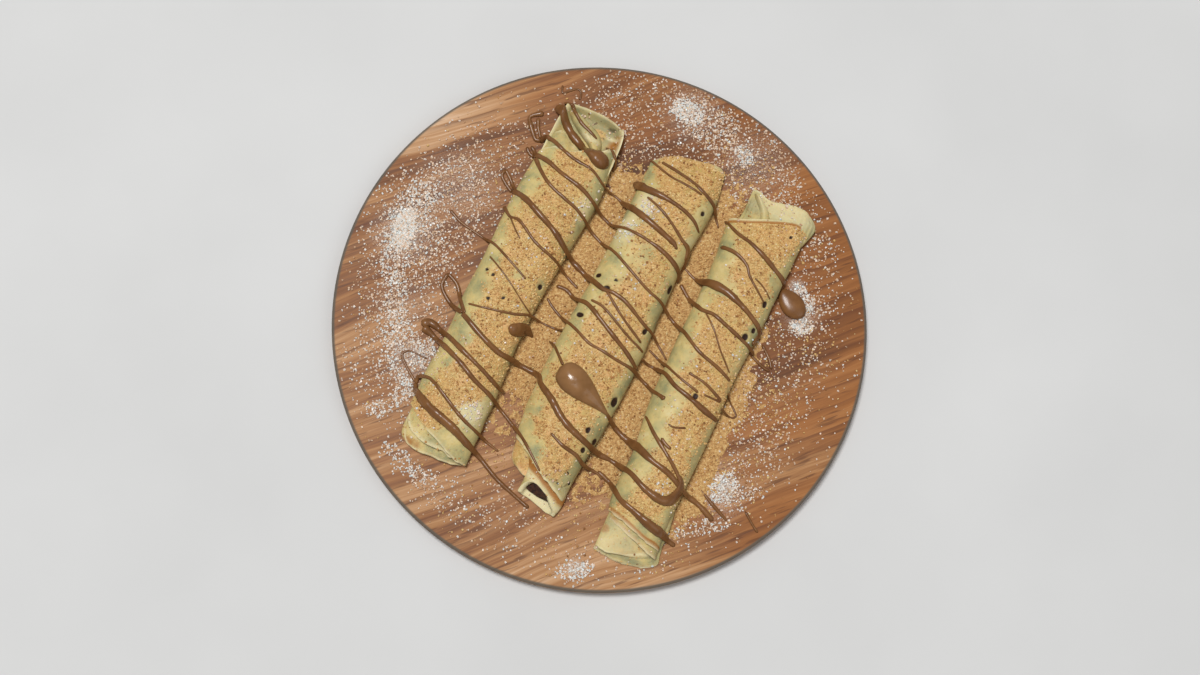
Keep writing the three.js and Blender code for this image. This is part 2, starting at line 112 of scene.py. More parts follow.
def object_place(tree):
    return add(tree, "ShaderNodeTexCoord").outputs["Object"]


def value_of(tree, name):
    """The value that each point of the mesh carries under a name."""
    return add(tree, "ShaderNodeAttribute", attribute_name=name).outputs["Fac"]


def paint_with(tree, shader, colour):
    tree.links.new(colour, shader.inputs["Base Color"])


def calculate(tree, operation, first, second=0.0):
    return add(tree, "ShaderNodeMath", {0: first, 1: second}, operation=operation).outputs[0]


def times(tree, first, second):
    return calculate(tree, "MULTIPLY", first, second)


def plus(tree, first, second):
    return calculate(tree, "ADD", first, second)


def less(tree, first, second):
    return calculate(tree, "SUBTRACT", first, second)


def mixed(tree, share, first, second):
    return add(tree, "ShaderNodeMix", {0: share, 6: first, 7: second}, data_type="RGBA").outputs[2]


def stained(tree, colour, share, amount, tint):
    """The colour, with an amount of a tint over it wherever the share is above 0."""
    return mixed(tree, times(tree, share, amount), colour, tint)


def between(tree, value, low, high):
    """0 up to low, 1 from high on, and smooth between them."""
    inputs = {"Value": value, "From Min": low, "From Max": high}
    return add(tree, "ShaderNodeMapRange", inputs, interpolation_type="SMOOTHSTEP").outputs[0]


def between_linear(tree, value, low, high):
    inputs = {"Value": value, "From Min": low, "From Max": high}
    return add(tree, "ShaderNodeMapRange", inputs).outputs[0]


def cloud(tree, place, scale, detail=2.0, roughness=0.5):
    inputs = {"Vector": place, "Scale": scale, "Detail": detail, "Roughness": roughness}
    return add(tree, "ShaderNodeTexNoise", inputs).outputs[0]


def ramp(tree, value, stops):
    """A colour for each place along a value, from (place, colour) stops."""
    node = add(tree, "ShaderNodeValToRGB", {"Fac": value})
    elements = node.color_ramp.elements
    while len(elements) < len(stops):
        elements.new(0.5)
    for element, (place, colour) in zip(elements, stops):
        element.position = place
        element.color = colour if hasattr(colour, "__len__") else (colour, colour, colour, 1)
    return node.outputs[0]


def relief(tree, shader, height, depth, strength=1.0):
    inputs = {"Height": height, "Distance": depth, "Strength": strength}
    bump = add(tree, "ShaderNodeBump", inputs)
    tree.links.new(bump.outputs[0], shader.inputs["Normal"])


def finish_mesh(bm, name, material):
    """The bmesh as a smooth-shaded object at the origin."""
    mesh = bpy.data.meshes.new(name)
    bm.to_mesh(mesh)
    bm.free()
    mesh.shade_smooth()
    mesh.materials.append(material)
    piece = bpy.data.objects.new(name, mesh)
    bpy.context.scene.collection.objects.link(piece)
    return piece


def across_grain(share):
    """A place across the grain, in millimetres from the board's middle, as a share of the ramp."""
    return 0.5 + share * MM / (2 * board_radius)


def wood_finish():
    material, tree, shader = new_finish("oiled_acacia", 0.5)
    place = object_place(tree)
    heading = {"Vector": place, "Rotation": (0, 0, -grain_heading)}
    turned = add(tree, "ShaderNodeMapping", heading).outputs[0]
    split = add(tree, "ShaderNodeSeparateXYZ", {0: turned}).outputs
    along, across, up = split[0], split[1], split[2]
    deep = plus(tree, times(tree, up, depth_share), board_thickness * (1 - depth_share))

    def grain_place(stretch, side, lift=0.0):
        inputs = {0: times(tree, along, stretch), 1: side, 2: lift}
        return add(tree, "ShaderNodeCombineXYZ", inputs).outputs[0]

    slow_bend = less(tree, cloud(tree, grain_place(0.45, across), 11, 1.5), 0.5)
    quick_bend = less(tree, cloud(tree, grain_place(0.3, across), 48, 2), 0.5)
    bend = plus(tree, times(tree, slow_bend, slow_bends), times(tree, quick_bend, quick_bends))
    side = plus(tree, across, bend)

    # Broad bands of pale and dark wood, which shift from the left of the board to the right.
    share = between_linear(tree, side, -board_radius, board_radius)
    left_bands = [
        (-140, 0.9), (-122, 0.85), (-114, 0.62), (-88, 0.42), (-72, 0.46), (-60, 0.72), (-36, 0.52),
        (-10, 0.66), (20, 0.48), (30, 0.52), (40, 0.78), (50, 0.66), (58, 0.36), (76, 0.32),
        (90, 0.5), (108, 0.36), (114, 0.64), (122, 0.56), (127, 0.22), (133, 0.26), (137, 0.9),
    ]
    right_bands = [
        (-134, 0.36), (-122, 0.58), (-104, 0.48), (-90, 0.24), (-82, 0.38), (-66, 0.2), (-42, 0.04),
        (-30, 0.12), (-15, 0.28), (10, 0.2), (30, 0.38), (52, 0.28), (62, 0.14), (78, 0.06),
        (100, 0.08), (112, 0.3), (126, 0.38),
    ]
    on_left = ramp(tree, share, [(across_grain(c), tone) for c, tone in left_bands])
    on_right = ramp(tree, share, [(across_grain(c), tone) for c, tone in right_bands])
    turn_over = between(tree, along, -0.05, 0.05)
    broad = mixed(tree, turn_over, on_left, on_right)

    rings = cloud(tree, grain_place(0.045, side, deep), 130, 4, 0.62)
    fibre = cloud(tree, grain_place(0.03, side, deep), 640, 3, 0.7)
    flecks = cloud(tree, grain_place(0.09, across, deep), 560, 1.5, 0.5)
    streaks = cloud(tree, grain_place(0.06, side, deep), 60, 2, 0.5)
    # The tone of each place: that of its band, then the rings and the fibre about it.
    tone = plus(tree, times(tree, broad, 0.7), times(tree, rings, 1.1))
    tone = plus(tree, tone, times(tree, fibre, 0.7))
    tone = less(tree, tone, 0.77)
    stops = [
        (0.0, paint(76, 44, 24)), (0.2, paint(107, 66, 37)), (0.4, paint(139, 91, 53)),
        (0.6, paint(165, 118, 75)), (0.8, paint(189, 147, 107)), (1.0, paint(210, 176, 144)),
    ]
    colour = ramp(tree, tone, stops)
    warmth = plus(tree, cloud(tree, grain_place(0.3, side), 26, 2), times(tree, along, 1.6))
    colour = stained(tree, colour, between(tree, warmth, 0.45, 0.75), 0.45, paint(166, 104, 48))
    colour = stained(tree, colour, between(tree, streaks, 0.6, 0.72), 0.4, paint(100, 58, 34))
    # The lines of yearly growth, each sharp at its dark side and stronger in some places.
    inputs = {"Vector": grain_place(0.1, side, deep), "Scale": 30, "Distortion": 3.5, "Detail": 3}
    inputs["Detail Scale"] = 0.9
    settings = {"wave_type": "BANDS", "bands_direction": "Y", "wave_profile": "SAW"}
    growth = add(tree, "ShaderNodeTexWave", inputs, **settings).outputs["Fac"]
    strong = between(tree, cloud(tree, grain_place(0.4, across), 24, 2), 0.42, 0.62)
    strength = plus(tree, 0.15, times(tree, strong, 0.5))
    colour = stained(tree, colour, between(tree, growth, 0.7, 1.0), strength, paint(92, 50, 28))
    pores = times(tree, between(tree, flecks, 0.58, 0.7), 0.6)
    colour = mixed(tree, pores, colour, paint(86, 50, 30))

    flatten = {0: place, 1: (1, 1, 0)}
    flat = add(tree, "ShaderNodeVectorMath", flatten, operation="MULTIPLY").outputs[0]
    dust = between(tree, cloud(tree, place, 1100, 2, 0.6), 0.4, 0.6)
    coats = [(spot, paint(206, 196, 186)) for spot in dusty_places]
    coats += [(spot, paint(202, 213, 214)) for spot in clean_places]
    for (x, y, radius, amount), coat in coats:
        ends = {0: flat, 1: (x * MM, y * MM, 0)}
        far = add(tree, "ShaderNodeVectorMath", ends, operation="DISTANCE").outputs["Value"]
        near = less(tree, 1.0, between(tree, far, 0.0, radius * MM))
        colour = stained(tree, colour, times(tree, near, amount), dust, coat)
    from_middle = add(tree, "ShaderNodeVectorMath", {0: flat}, operation="LENGTH").outputs["Value"]
    # A dark grey band painted over the rounded rim.
    rim = between(tree, from_middle, board_radius - rim_from, board_radius - rim_full)
    high = between(tree, up, board_thickness - rim_from, board_thickness - rim_full)
    colour = stained(tree, colour, times(tree, rim, high), 0.9, paint(96, 91, 82))
    paint_with(tree, shader, colour)
    gloss = plus(tree, times(tree, fibre, 0.25), 0.42)
    tree.links.new(gloss, shader.inputs["Roughness"])
    shader.inputs["Specular IOR Level"].default_value = 0.25
    height = less(tree, fibre, pores)
    relief(tree, shader, height, 0.12 * MM, 0.6)
    return material


def turned_board():
    bm = bmesh.new()
    inner = board_radius - board_edge_radius
    quarter = math.pi / 2
    outline = [(0, 0), (inner, 0)]
    corners = [(board_edge_radius, -quarter), (board_thickness - board_edge_radius, 0)]
    for middle_z, first in corners:
        for step in range(board_edge_steps + 1):
            angle = first + quarter * step / board_edge_steps
            out, rise = board_edge_radius * math.cos(angle), board_edge_radius * math.sin(angle)
            outline.append((inner + out, middle_z + rise))
    outline += [(inner * share, board_thickness) for share in reversed(board_rings)]
    outline.append((0, board_thickness))
    points = [bm.verts.new((x, 0, z)) for x, z in outline]
    edges = [bm.edges.new(pair) for pair in zip(points, points[1:])]
    bmesh.ops.spin(
        bm, geom=points + edges, cent=(0, 0, 0), axis=(0, 0, 1), angle=2 * math.pi,
        steps=board_turn_steps, use_merge=True,
    )
    bmesh.ops.remove_doubles(bm, verts=bm.verts, dist=0.01 * MM)
    bmesh.ops.recalc_face_normals(bm, faces=bm.faces)
    return bm


board = finish_mesh(turned_board(), "serving_board", wood_finish())
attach(board, "root")
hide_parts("board")


# ---- Rolled crepes ------------------------------------------------------------------------
# Three thin crepes of pale batter, each rolled up round a spread and laid side by side. Each is
# a few turns of sheet, pressed flat at its ends, where the inner turns and torn edges stick out.

# Plans are in millimetres. s runs along a roll from its upper end to its lower end, and t runs
# across it to the right. heading is the turn of the roll from -Y towards -X. Each turn of sheet
# has its left and right side as t at an s, and its start and end as s at a t. marks are places
# with a kind, s, t, a radius along and across, and an amount: edge is pale, toast is browned,
# shade is painted shade in a greenish grey, dust is crumbed, and hole is burst.
crepes = {
    "left": {
        "centre": (-53.8, 21.1), "heading": 26, "wave": 0.4,
        "bare_left": [
            (-90, -12), (-60, -10), (-30, -16), (-10, -10), (25, -11), (50, -9), (72, -14),
            (88, -21),
        ],
        "bare_right": [
            (-90, 15), (-64, 15), (-30, 21), (40, 19), (66, 18), (76, 11), (90, 6), (96, 1),
            (101, -7),
        ],
        "bare_spots": [
            (38, -11, 9, 7), (57, -15, 8, 6), (82, 12, 7, 7), (-4, 2, 5, 4), (-6, 17, 5, 4),
        ],
        "thin_from": -88, "thin_to": 99,
        "holes": [
            (11.6, 1.1, 0.9, 0.8), (15.7, -7.3, 1, 0.8), (-0.2, -15.8, 0.8, 0.8),
            (1.5, -11, 0.9, 0.8), (-4.7, 16.6, 1.5, 1),
        ],
        "layers": [
            {   # outer turn of the roll
                "left": [
                    (-90, -21), (-49, -23), (-10, -22.3), (14, -22.6), (43, -21.3), (75, -22),
                    (95, -21),
                ],
                "right": [
                    (-100, 21.5), (-70, 25), (-40, 22.8), (0, 20), (30, 19.5), (60, 21.8),
                    (105, 23.5),
                ],
                "start": [(-21, -82), (-14, -86.5), (-5, -86.5), (3, -91), (12, -95), (21.5, -102)],
                "end": [
                    (-21, 90), (-12, 96.5), (-6, 99.5), (1, 102), (11, 106.5), (17, 108.5),
                    (23.5, 109),
                ],
                "height": 17, "start_height": 13, "start_ease": 26, "end_height": 11,
                "end_ease": 34,
                "ends": ("open", "open"), "dusted": 1.0, "toast_end": (3, 0.25),
                "marks": [("edge", 79, 12, 10, 8, 0.8), ("edge", -58, 18, 8, 4, 0.5)],
            },
            {   # inner turn that sticks out at the lower end
                "left": [(60, -20), (95, -20), (106, -19), (112, -15)],
                "right": [(60, 19), (105, 22.5), (112, 20)],
                "start": [(-20, 60), (20, 60)],
                "end": [
                    (-20, 94), (-17, 100), (-12, 104.5), (-6, 106.4), (2, 106.8), (8, 106.6),
                    (14, 108.2), (20, 108),
                ],
                "height": 13, "end_height": 7.6, "end_ease": 26,
                "ends": ("hidden", "open"), "dusted": 0.06, "toast_end": (3, 0.1), "edge": 1.5,
            },
            {   # lowest turn at the lower end
                "left": [(60, -19), (95, -20), (106, -19), (112, -15)],
                "right": [(60, 18), (105, 22), (112, 20)],
                "start": [(-19, 70), (19, 70)],
                "end": [
                    (-20, 96), (-17, 106), (-12, 111.5), (-6, 112.5), (4, 112), (12, 111.5),
                    (20, 109.8),
                ],
                "height": 8, "end_height": 4.2, "end_ease": 22,
                "ends": ("hidden", "open"), "dusted": 0.06, "toast_end": (3, 0.3),
                "marks": [("toast", 109, -11, 2.5, 6, 0.45)],
            },
            {   # tongue of the second turn at the upper end
                "left": [(-99, -19), (-85, -20)],
                "right": [(-99, -4.5), (-85, 12)],
                "start": [(-20, -93), (-17, -97), (-11, -98.5), (-7, -96.5), (-4, -92), (12, -92)],
                "end": [(-20, -70), (12, -70)],
                "height": 12, "start_height": 9, "start_ease": 8,
                "ends": ("open", "hidden"), "dusted": 0.2,
            },
            {   # folded strip across the open mouth
                "left": [(-116, -18), (-110, -14), (-104, -6), (-97, 5), (-90, 9)],
                "right": [(-116, -10), (-111, 0), (-108, 7), (-100, 12), (-90, 14)],
                "start": [(-18, -114.5), (-10, -114.5), (0, -111), (7, -108.5), (14, -100)],
                "end": [(-18, -88), (14, -88)],
                "height": 10, "start_height": 6.5, "start_ease": 20,
                "ends": ("shut", "hidden"), "dusted": 0.1, "shut": 2,
                "marks": [
                    ("edge", -101.8, 2.8, 2.2, 7, 0.9), ("toast", -111, -14, 4, 4, 0.3),
                    ("shade", -105, -2, 8, 8, 0.35),
                ],
            },
            {   # lowest turn, an open tray with a raised lip
                "left": [(-119, -18), (-105, -19.5), (-90, -20)],
                "right": [(-119, 16), (-114, 19.9), (-107, 21.8), (-92, 23)],
                "start": [
                    (-18, -116.8), (-12, -118.6), (-5, -119.2), (4, -119.4), (12, -118.4),
                    (18, -116.2),
                ],
                "end": [(-20, -80), (20, -80)],
                "height": 2.6, "rim": 7.4, "dish": 6.5,
                "ends": ("shut", "hidden"), "dusted": 0.12, "shut": 1.3, "edge": 1.7,
                # Painted shade in the tray: the shade marks darken its floor and right corner, the
                # toast mark browns that corner as painted shadow, and the hole mark paints a dark
                # pocket.
                "marks": [
                    ("shade", -110, 4, 8, 22, 0.8), ("dust", -107.5, 7, 3.2, 4.2, 0.9),
                    ("hole", -113.6, 12.6, 1.1, 2.4, 0.55), ("toast", -102, 19, 9, 5, 0.7),
                    ("edge", -108.2, 15.5, 1.1, 4.2, 0.9), ("shade", -102, 20, 8, 6, 0.95),
                ],
            },
        ],
    },
    "middle": {
        "centre": (9.4, 3.9), "heading": 26.6, "wave": 1.9,
        "bare_left": [
            (-108, -22), (-92, -18), (-80, -14), (-60, -8), (-50, -11), (-25, -6), (-8, -10),
            (10, -12), (30, -17), (60, -20), (82, -15), (94, -4), (106, -2),
        ],
        "bare_right": [
            (-108, 24), (-90, 22), (-76, 13), (-60, 17), (-36, 15), (0, 18), (60, 17), (92, 16),
            (104, 12),
        ],
        "bare_spots": [
            (-34, -1, 9, 6), (-24, -10, 9, 5), (72, -17, 8, 4), (35, -16.5, 5, 4), (65, 19, 6, 3),
            (96, -8, 8, 7),
        ],
        "thin_from": -107, "thin_to": 106,
        "holes": [
            (12.6, -19.2, 1.3, 1.7), (4.6, 19.4, 1.5, 1), (-8.5, -11.9, 1, 1.6),
            (-14, -19.8, 1.1, 1.2), (-14.7, -9, 0.8, 0.7), (49.9, 21.5, 2.4, 1.4),
            (71.9, 15.2, 1.5, 1.1), (75.9, 21.6, 1.6, 1), (83.6, 17.7, 1.4, 1),
            (-75.4, 19.2, 1.2, 0.9), (-25.5, 21.9, 2.4, 1), (-41, 23, 1.4, 0.9),
        ],
        "layers": [
            {   # outer turn of the roll, folded shut at the upper end
                "left": [
                    (-95, -23), (-60, -22.8), (-10, -22.8), (25, -24.6), (52, -24.5), (80, -23),
                    (98, -20),
                ],
                "right": [
                    (-105, 21), (-83, 24.5), (-50, 22.6), (-9, 23.3), (21, 24.8), (60, 24),
                    (90, 21.4), (115, 20),
                ],
                "start": [
                    (-23, -95.5), (-19, -99), (-14, -102.5), (-8, -105), (2, -107.5), (16, -110),
                    (21, -107.5),
                ],
                "end": [(-21, 93), (-14, 97), (-7, 101.5), (2, 107), (11, 110.5), (20, 115)],
                "height": 17.5, "start_height": 6, "start_ease": 30, "end_height": 13,
                "end_ease": 26,
                "ends": ("shut", "open"), "dusted": 1.0, "toast_end": (2.5, 0.2), "shut": 3.4,
                "edge": 1.2,
                "marks": [
                    ("shade", 101, 14, 12, 11, 0.6), ("hole", 99.5, 15.5, 0.7, 0.9, 1),
                    ("hole", 104, 19, 0.9, 0.6, 1), ("hole", 107, 13, 0.6, 0.8, 0.9),
                    ("shade", -90, 22, 16, 5, 0.35), ("edge", -65, -13, 9, 6, 0.8),
                    ("edge", -46, -18, 10, 5, 0.6),
                ],
            },
            {   # inner tube that sticks out at the lower end
                "left": [(60, -19), (92, -15), (104, -8), (112, -6), (122, -6.5)],
                "right": [(60, 20), (100, 19.5), (117, 21.2), (125, 19.5)],
                "start": [(-19, 60), (20, 60)],
                "end": [(-6.5, 108.5), (2, 112.3), (10, 116), (18, 120.5)],
                "foot": [(-6.5, 120.4), (2.6, 121.7), (10, 123.2), (18.4, 124.8)],
                "height": 13.5, "end_height": 8.5, "end_ease": 22, "lean": -0.16,
                "ends": ("hidden", "mouth"), "dusted": 0.05, "toast_end": (2.5, 1.35),
                "toast_back": 5.0, "edge": 2.3,
            },
            {   # flap that lies out at the left of the tube
                "left": [(84, -21), (98, -19.5), (104, -17.8), (108, -14.5)],
                "right": [(84, -4), (104, 2), (112, -2)],
                "start": [(-21, 80), (2, 80)],
                "end": [(-19, 101), (-16.5, 106), (-13, 108.5), (-8, 110.5), (-2, 112)],
                "height": 8, "end_height": 5, "end_ease": 16,
                "ends": ("hidden", "open"), "dusted": 0.7, "toast_end": (9, 0.45), "edge": 1.6,
            },
        ],
    },
    "right": {
        "centre": (55, -41.4), "heading": 24.9, "wave": 3.3,
        "bare_left": [
            (-108, -20), (-98, -16), (-88, -13), (-66, -7), (-58, -5), (-50, -12), (-30, -12),
            (-8, -9), (2, -15), (14, -4), (28, -7), (38, 0), (46, -9), (60, -2), (70, -10),
            (84, -18),
        ],
        "bare_right": [
            (-114, 22), (-104, 20), (-92, 15), (-80, 12), (-66, 16), (-34, 13), (4, 19), (20, 15),
            (40, 14), (60, 16), (78, 11), (92, 8),
        ],
        "bare_spots": [
            (8, -13, 8, 5), (22, -17, 8, 4), (40, -14, 8, 5), (58, -12, 8, 5), (73, -13, 7, 4),
            (-59, -5, 6, 5), (14, -5, 6, 4),
        ],
        "thin_from": -122, "thin_to": 85, "bare_edge": 2.6,
        "holes": [
            (-61.5, 16.6, 1.7, 1), (-38.2, 13.7, 1.9, 1.4), (-44.3, 16.9, 1.3, 1),
            (6.8, 1.2, 1.6, 1.2), (-106.4, 15, 1, 0.8),
        ],
        "layers": [
            {   # outer turn of the roll
                "left": [
                    (-103, -23.5), (-64, -21), (-20, -22), (20, -21.5), (50, -18.5), (75, -19.5),
                    (90, -17),
                ],
                "right": [
                    (-116, 24), (-86, 22.6), (-50, 21.5), (-16, 19), (30, 19), (82, 17.5),
                    (100, 19),
                ],
                "start": [
                    (-23, -103.5), (-12, -107), (-1, -111.5), (12, -116.5), (18, -117.5),
                    (24, -116),
                ],
                "end": [(-18, 87), (-9, 89.5), (-0.6, 92), (8, 95), (16, 96), (19, 97)],
                "height": 17, "start_height": 10.5, "start_ease": 26, "end_height": 12.5,
                "end_ease": 24,
                "ends": ("open", "open"), "dusted": 1.0, "toast_end": (1.6, 1.7), "toast_back": 0.9,
                "toast_start": (2.3, 0.75, 1.4), "edge": 1.2,
                "marks": [("shade", 60, 17, 40, 4, 0.4)],
            },
            {   # flap under the upper end, curled up at its right corner
                "left": [(-128, -17.3), (-112, -17), (-95, -20)],
                "right": [(-126, 22.5), (-120, 27), (-113, 26), (-100, 21)],
                "start": [
                    (-17.3, -127.5), (-13, -127.4), (-8, -125.2), (-2, -125.2), (10, -127.4),
                    (19, -127.4), (26, -122),
                ],
                "end": [(-20, -90), (20, -90)],
                "height": 8, "start_height": 4, "start_ease": 12, "lean": 0.12,
                "ends": ("open", "hidden"), "dusted": 0.04, "ribs": 0.35,
                "marks": [("edge", -121, 6, 7, 20, 0.75), ("shade", -117, -12, 5, 5, 0.5)],
            },
            {   # pleat that stands up as an ear
                "left": [(-128.5, -17.2), (-123, -14.5), (-114, -8), (-100, -6)],
                "right": [(-128.5, -14), (-123, -9.5), (-114, 0), (-100, 4)],
                "start": [(-17.2, -128.2), (-14, -128.2), (-8, -123.5), (1, -115)],
                "end": [(-12, -98), (4, -98)],
                "height": 9.8, "start_height": 7.4, "start_ease": 12,
                "ends": ("shut", "hidden"), "dusted": 0.0, "shut": 2.5,
                "marks": [("edge", -121, -9, 10, 6, 0.5)],
            },
            {   # second turn at the lower end
                "left": [(60, -18), (92, -15.8)],
                "right": [(60, 17.5), (92, 18), (101, 19)],
                "start": [(-18, 60), (18, 60)],
                "end": [(-15.6, 91), (-8, 93.2), (0.4, 96.2), (9.3, 99.2), (15, 100.8), (19, 102)],
                "height": 12.5, "end_height": 9, "end_ease": 18,
                "ends": ("hidden", "open"), "dusted": 0.03, "toast_end": (2.8, 0.6), "edge": 1.6,
            },
            {   # third turn, pressed flat
                "left": [(60, -16.5), (92, -16.4), (109, -16.5)],
                "right": [(60, 17), (100, 18.2), (109, 2)],
                "start": [(-17, 60), (17, 60)],
                "end": [
                    (-16.5, 108.4), (-10.6, 109), (-6, 108.8), (2, 106.4), (12, 101.2), (18, 100),
                ],
                "height": 10, "end_height": 4.6, "end_ease": 26,
                "ends": ("hidden", "open"), "dusted": 0.05, "toast_end": (2, 0.15), "edge": 1.2,
                "marks": [
                    ("edge", 101, -5, 12, 14, 0.4), ("toast", 97, -15, 2.6, 2.6, 0.7),
                    ("shade", 93, -14, 4, 4, 0.4), ("toast", 101, 0, 6, 14, 0.22),
                ],
            },
            {   # lowest turn
                "left": [(80, -13), (104, -15.5), (111, -16.5)],
                "right": [(80, 18), (98, 20.5), (104, 21), (110, 12)],
                "start": [(-13, 80), (20, 80)],
                "end": [
                    (-16.5, 109.6), (-10.6, 110.9), (-4, 111.3), (3, 111), (8, 110.2),
                    (12.5, 108.8), (17.7, 106.4), (21, 104),
                ],
                "height": 3, "end_height": 1.9, "end_ease": 10,
                "ends": ("hidden", "shut"), "dusted": 0.05, "shut": 1.6,
                "marks": [("shade", 107.6, 6, 2.2, 9, 0.9), ("shade", 109.4, -10, 1, 8, 0.9)],
            },
        ],
    },
}

# What each point of a turn tells the finish.
finish_values = ("dust", "toast", "edge", "hole", "shade")
rest_gap = 0.4
swell_pitch, ripple_pitch, ripple_share, ripple_slant, swell_depth = 19, 8.3, 0.7, 11, 0.018
belly_share, side_squareness, top_squareness, foot_share = 0.3, 2.6, 1.8, 0.6
sheet_thickness = 1.4
lip_step = 0.45
pocket_depth = 16
pocket_rows = 7
row_pitch = 1.05
top_columns, bottom_columns = 56, 18
shut_length = 5.5
torn_depth = 0.45
hole_growth, hole_depth = 1.3, 1.5
# The painted shade on the right side of each turn, away from the light, at its fullest.
side_shade = 0.28
# An open turn's wall is at most this share of its height, and its sides wander by this much.
wall_share, side_wander = 0.32, 0.35
# Faint browned patches, as amount and pitch.
brown_patches, brown_pitch = 0.16, 12
# Widths over which the crumbs thin out at the sides and ends of a roll.
side_fringe, end_fringe = 10, 8
# Waves in the skin of a turn, as height, pitch and seed.
skin_waves = [(0.42, 15, 0), (0.22, 6, 3), (0.1, 2.6, 5)]
rib_pitch = 2.4
tunnel_slack = 0.4
thinnest = 1.5


def curve(points):
    """A smooth curve y(x) through a few points, level beyond its ends, for arrays."""
    xs, ys = np.array(points, float).T
    rises, widths = np.diff(ys), np.diff(xs)
    between_ends = (ys[2:] - ys[:-2]) / (xs[2:] - xs[:-2])
    slopes = np.concatenate([[rises[0] / widths[0]], between_ends, [rises[-1] / widths[-1]]])

    def at(x):
        x = np.clip(x, xs[0], xs[-1])
        i = np.clip(np.searchsorted(xs, x, side="right") - 1, 0, len(xs) - 2)
        width = widths[i]
        f = (x - xs[i]) / width
        turn_in = f * (1 - f) ** 2 * width * slopes[i]
        turn_out = f * f * (f - 1) * width * slopes[i + 1]
        return ys[i] + rises[i] * f * f * (3 - 2 * f) + turn_in + turn_out

    return at


def ease(x):
    x = np.clip(x, 0, 1)
    return x * x * (3 - 2 * x)


def lumps(x, y, pitch, seed):
    """Smooth uneven hills and hollows, from -1 to 1, about one pitch apart."""
    size = 64
    table = np.random.default_rng(seed).uniform(-1, 1, (size, size))
    gx, gy = np.asarray(x) / pitch, np.asarray(y) / pitch
    ix, iy = np.floor(gx).astype(int), np.floor(gy).astype(int)
    fx, fy = ease(gx - ix), ease(gy - iy)
    left, right, front, back = ix % size, (ix + 1) % size, iy % size, (iy + 1) % size
    low = table[left, front] * (1 - fx) + table[right, front] * fx
    high = table[left, back] * (1 - fx) + table[right, back] * fx
    return low * (1 - fy) + high * fy


def plan_point(crepe, s, t):
    turn = math.radians(crepe["heading"])
    x = crepe["centre"][0] - s * math.sin(turn) + t * math.cos(turn)
    y = crepe["centre"][1] - s * math.cos(turn) - t * math.sin(turn)
    return x, y


def plan_of(crepe, x, y):
    turn = math.radians(crepe["heading"])
    dx, dy = x - crepe["centre"][0], y - crepe["centre"][1]
    return -dx * math.sin(turn) - dy * math.cos(turn), dx * math.cos(turn) - dy * math.sin(turn)


def dusting(crepe, s, t):
    """How thickly crumbs lie on the outer turn, from 0, bare, to 1."""
    seed = int(10 * crepe["wave"])
    ragged = 2.2 * lumps(s, t, 6, seed) + 1.2 * lumps(s, t, 2.4, seed + 1)
    from_left = t - curve(crepe["bare_left"])(s) + ragged
    from_right = curve(crepe["bare_right"])(s) - t + ragged
    from_start, from_end = s - crepe["thin_from"] + ragged, crepe["thin_to"] - s + ragged
    cover = ease(0.5 + from_left / side_fringe) * ease(0.5 + from_right / side_fringe)
    cover = cover * ease(0.5 + from_start / end_fringe) * ease(0.5 + from_end / end_fringe)
    if "bare_edge" in crepe:
        cover = cover * ease((s - curve(crepe["layers"][0]["start"])(t) - crepe["bare_edge"]) / 1.2)
    for spot_s, spot_t, radius_s, radius_t in crepe["bare_spots"]:
        # The spots fade in, so that a quarter of their crumbs stays even at the middle.
        far = np.hypot((s - spot_s) / radius_s, (t - spot_t) / radius_t) + 0.12 * ragged
        cover = cover * (0.25 + 0.75 * ease((far - 0.55) / 0.8))
    return cover * (0.78 + 0.22 * lumps(s, t, 7, seed + 2))


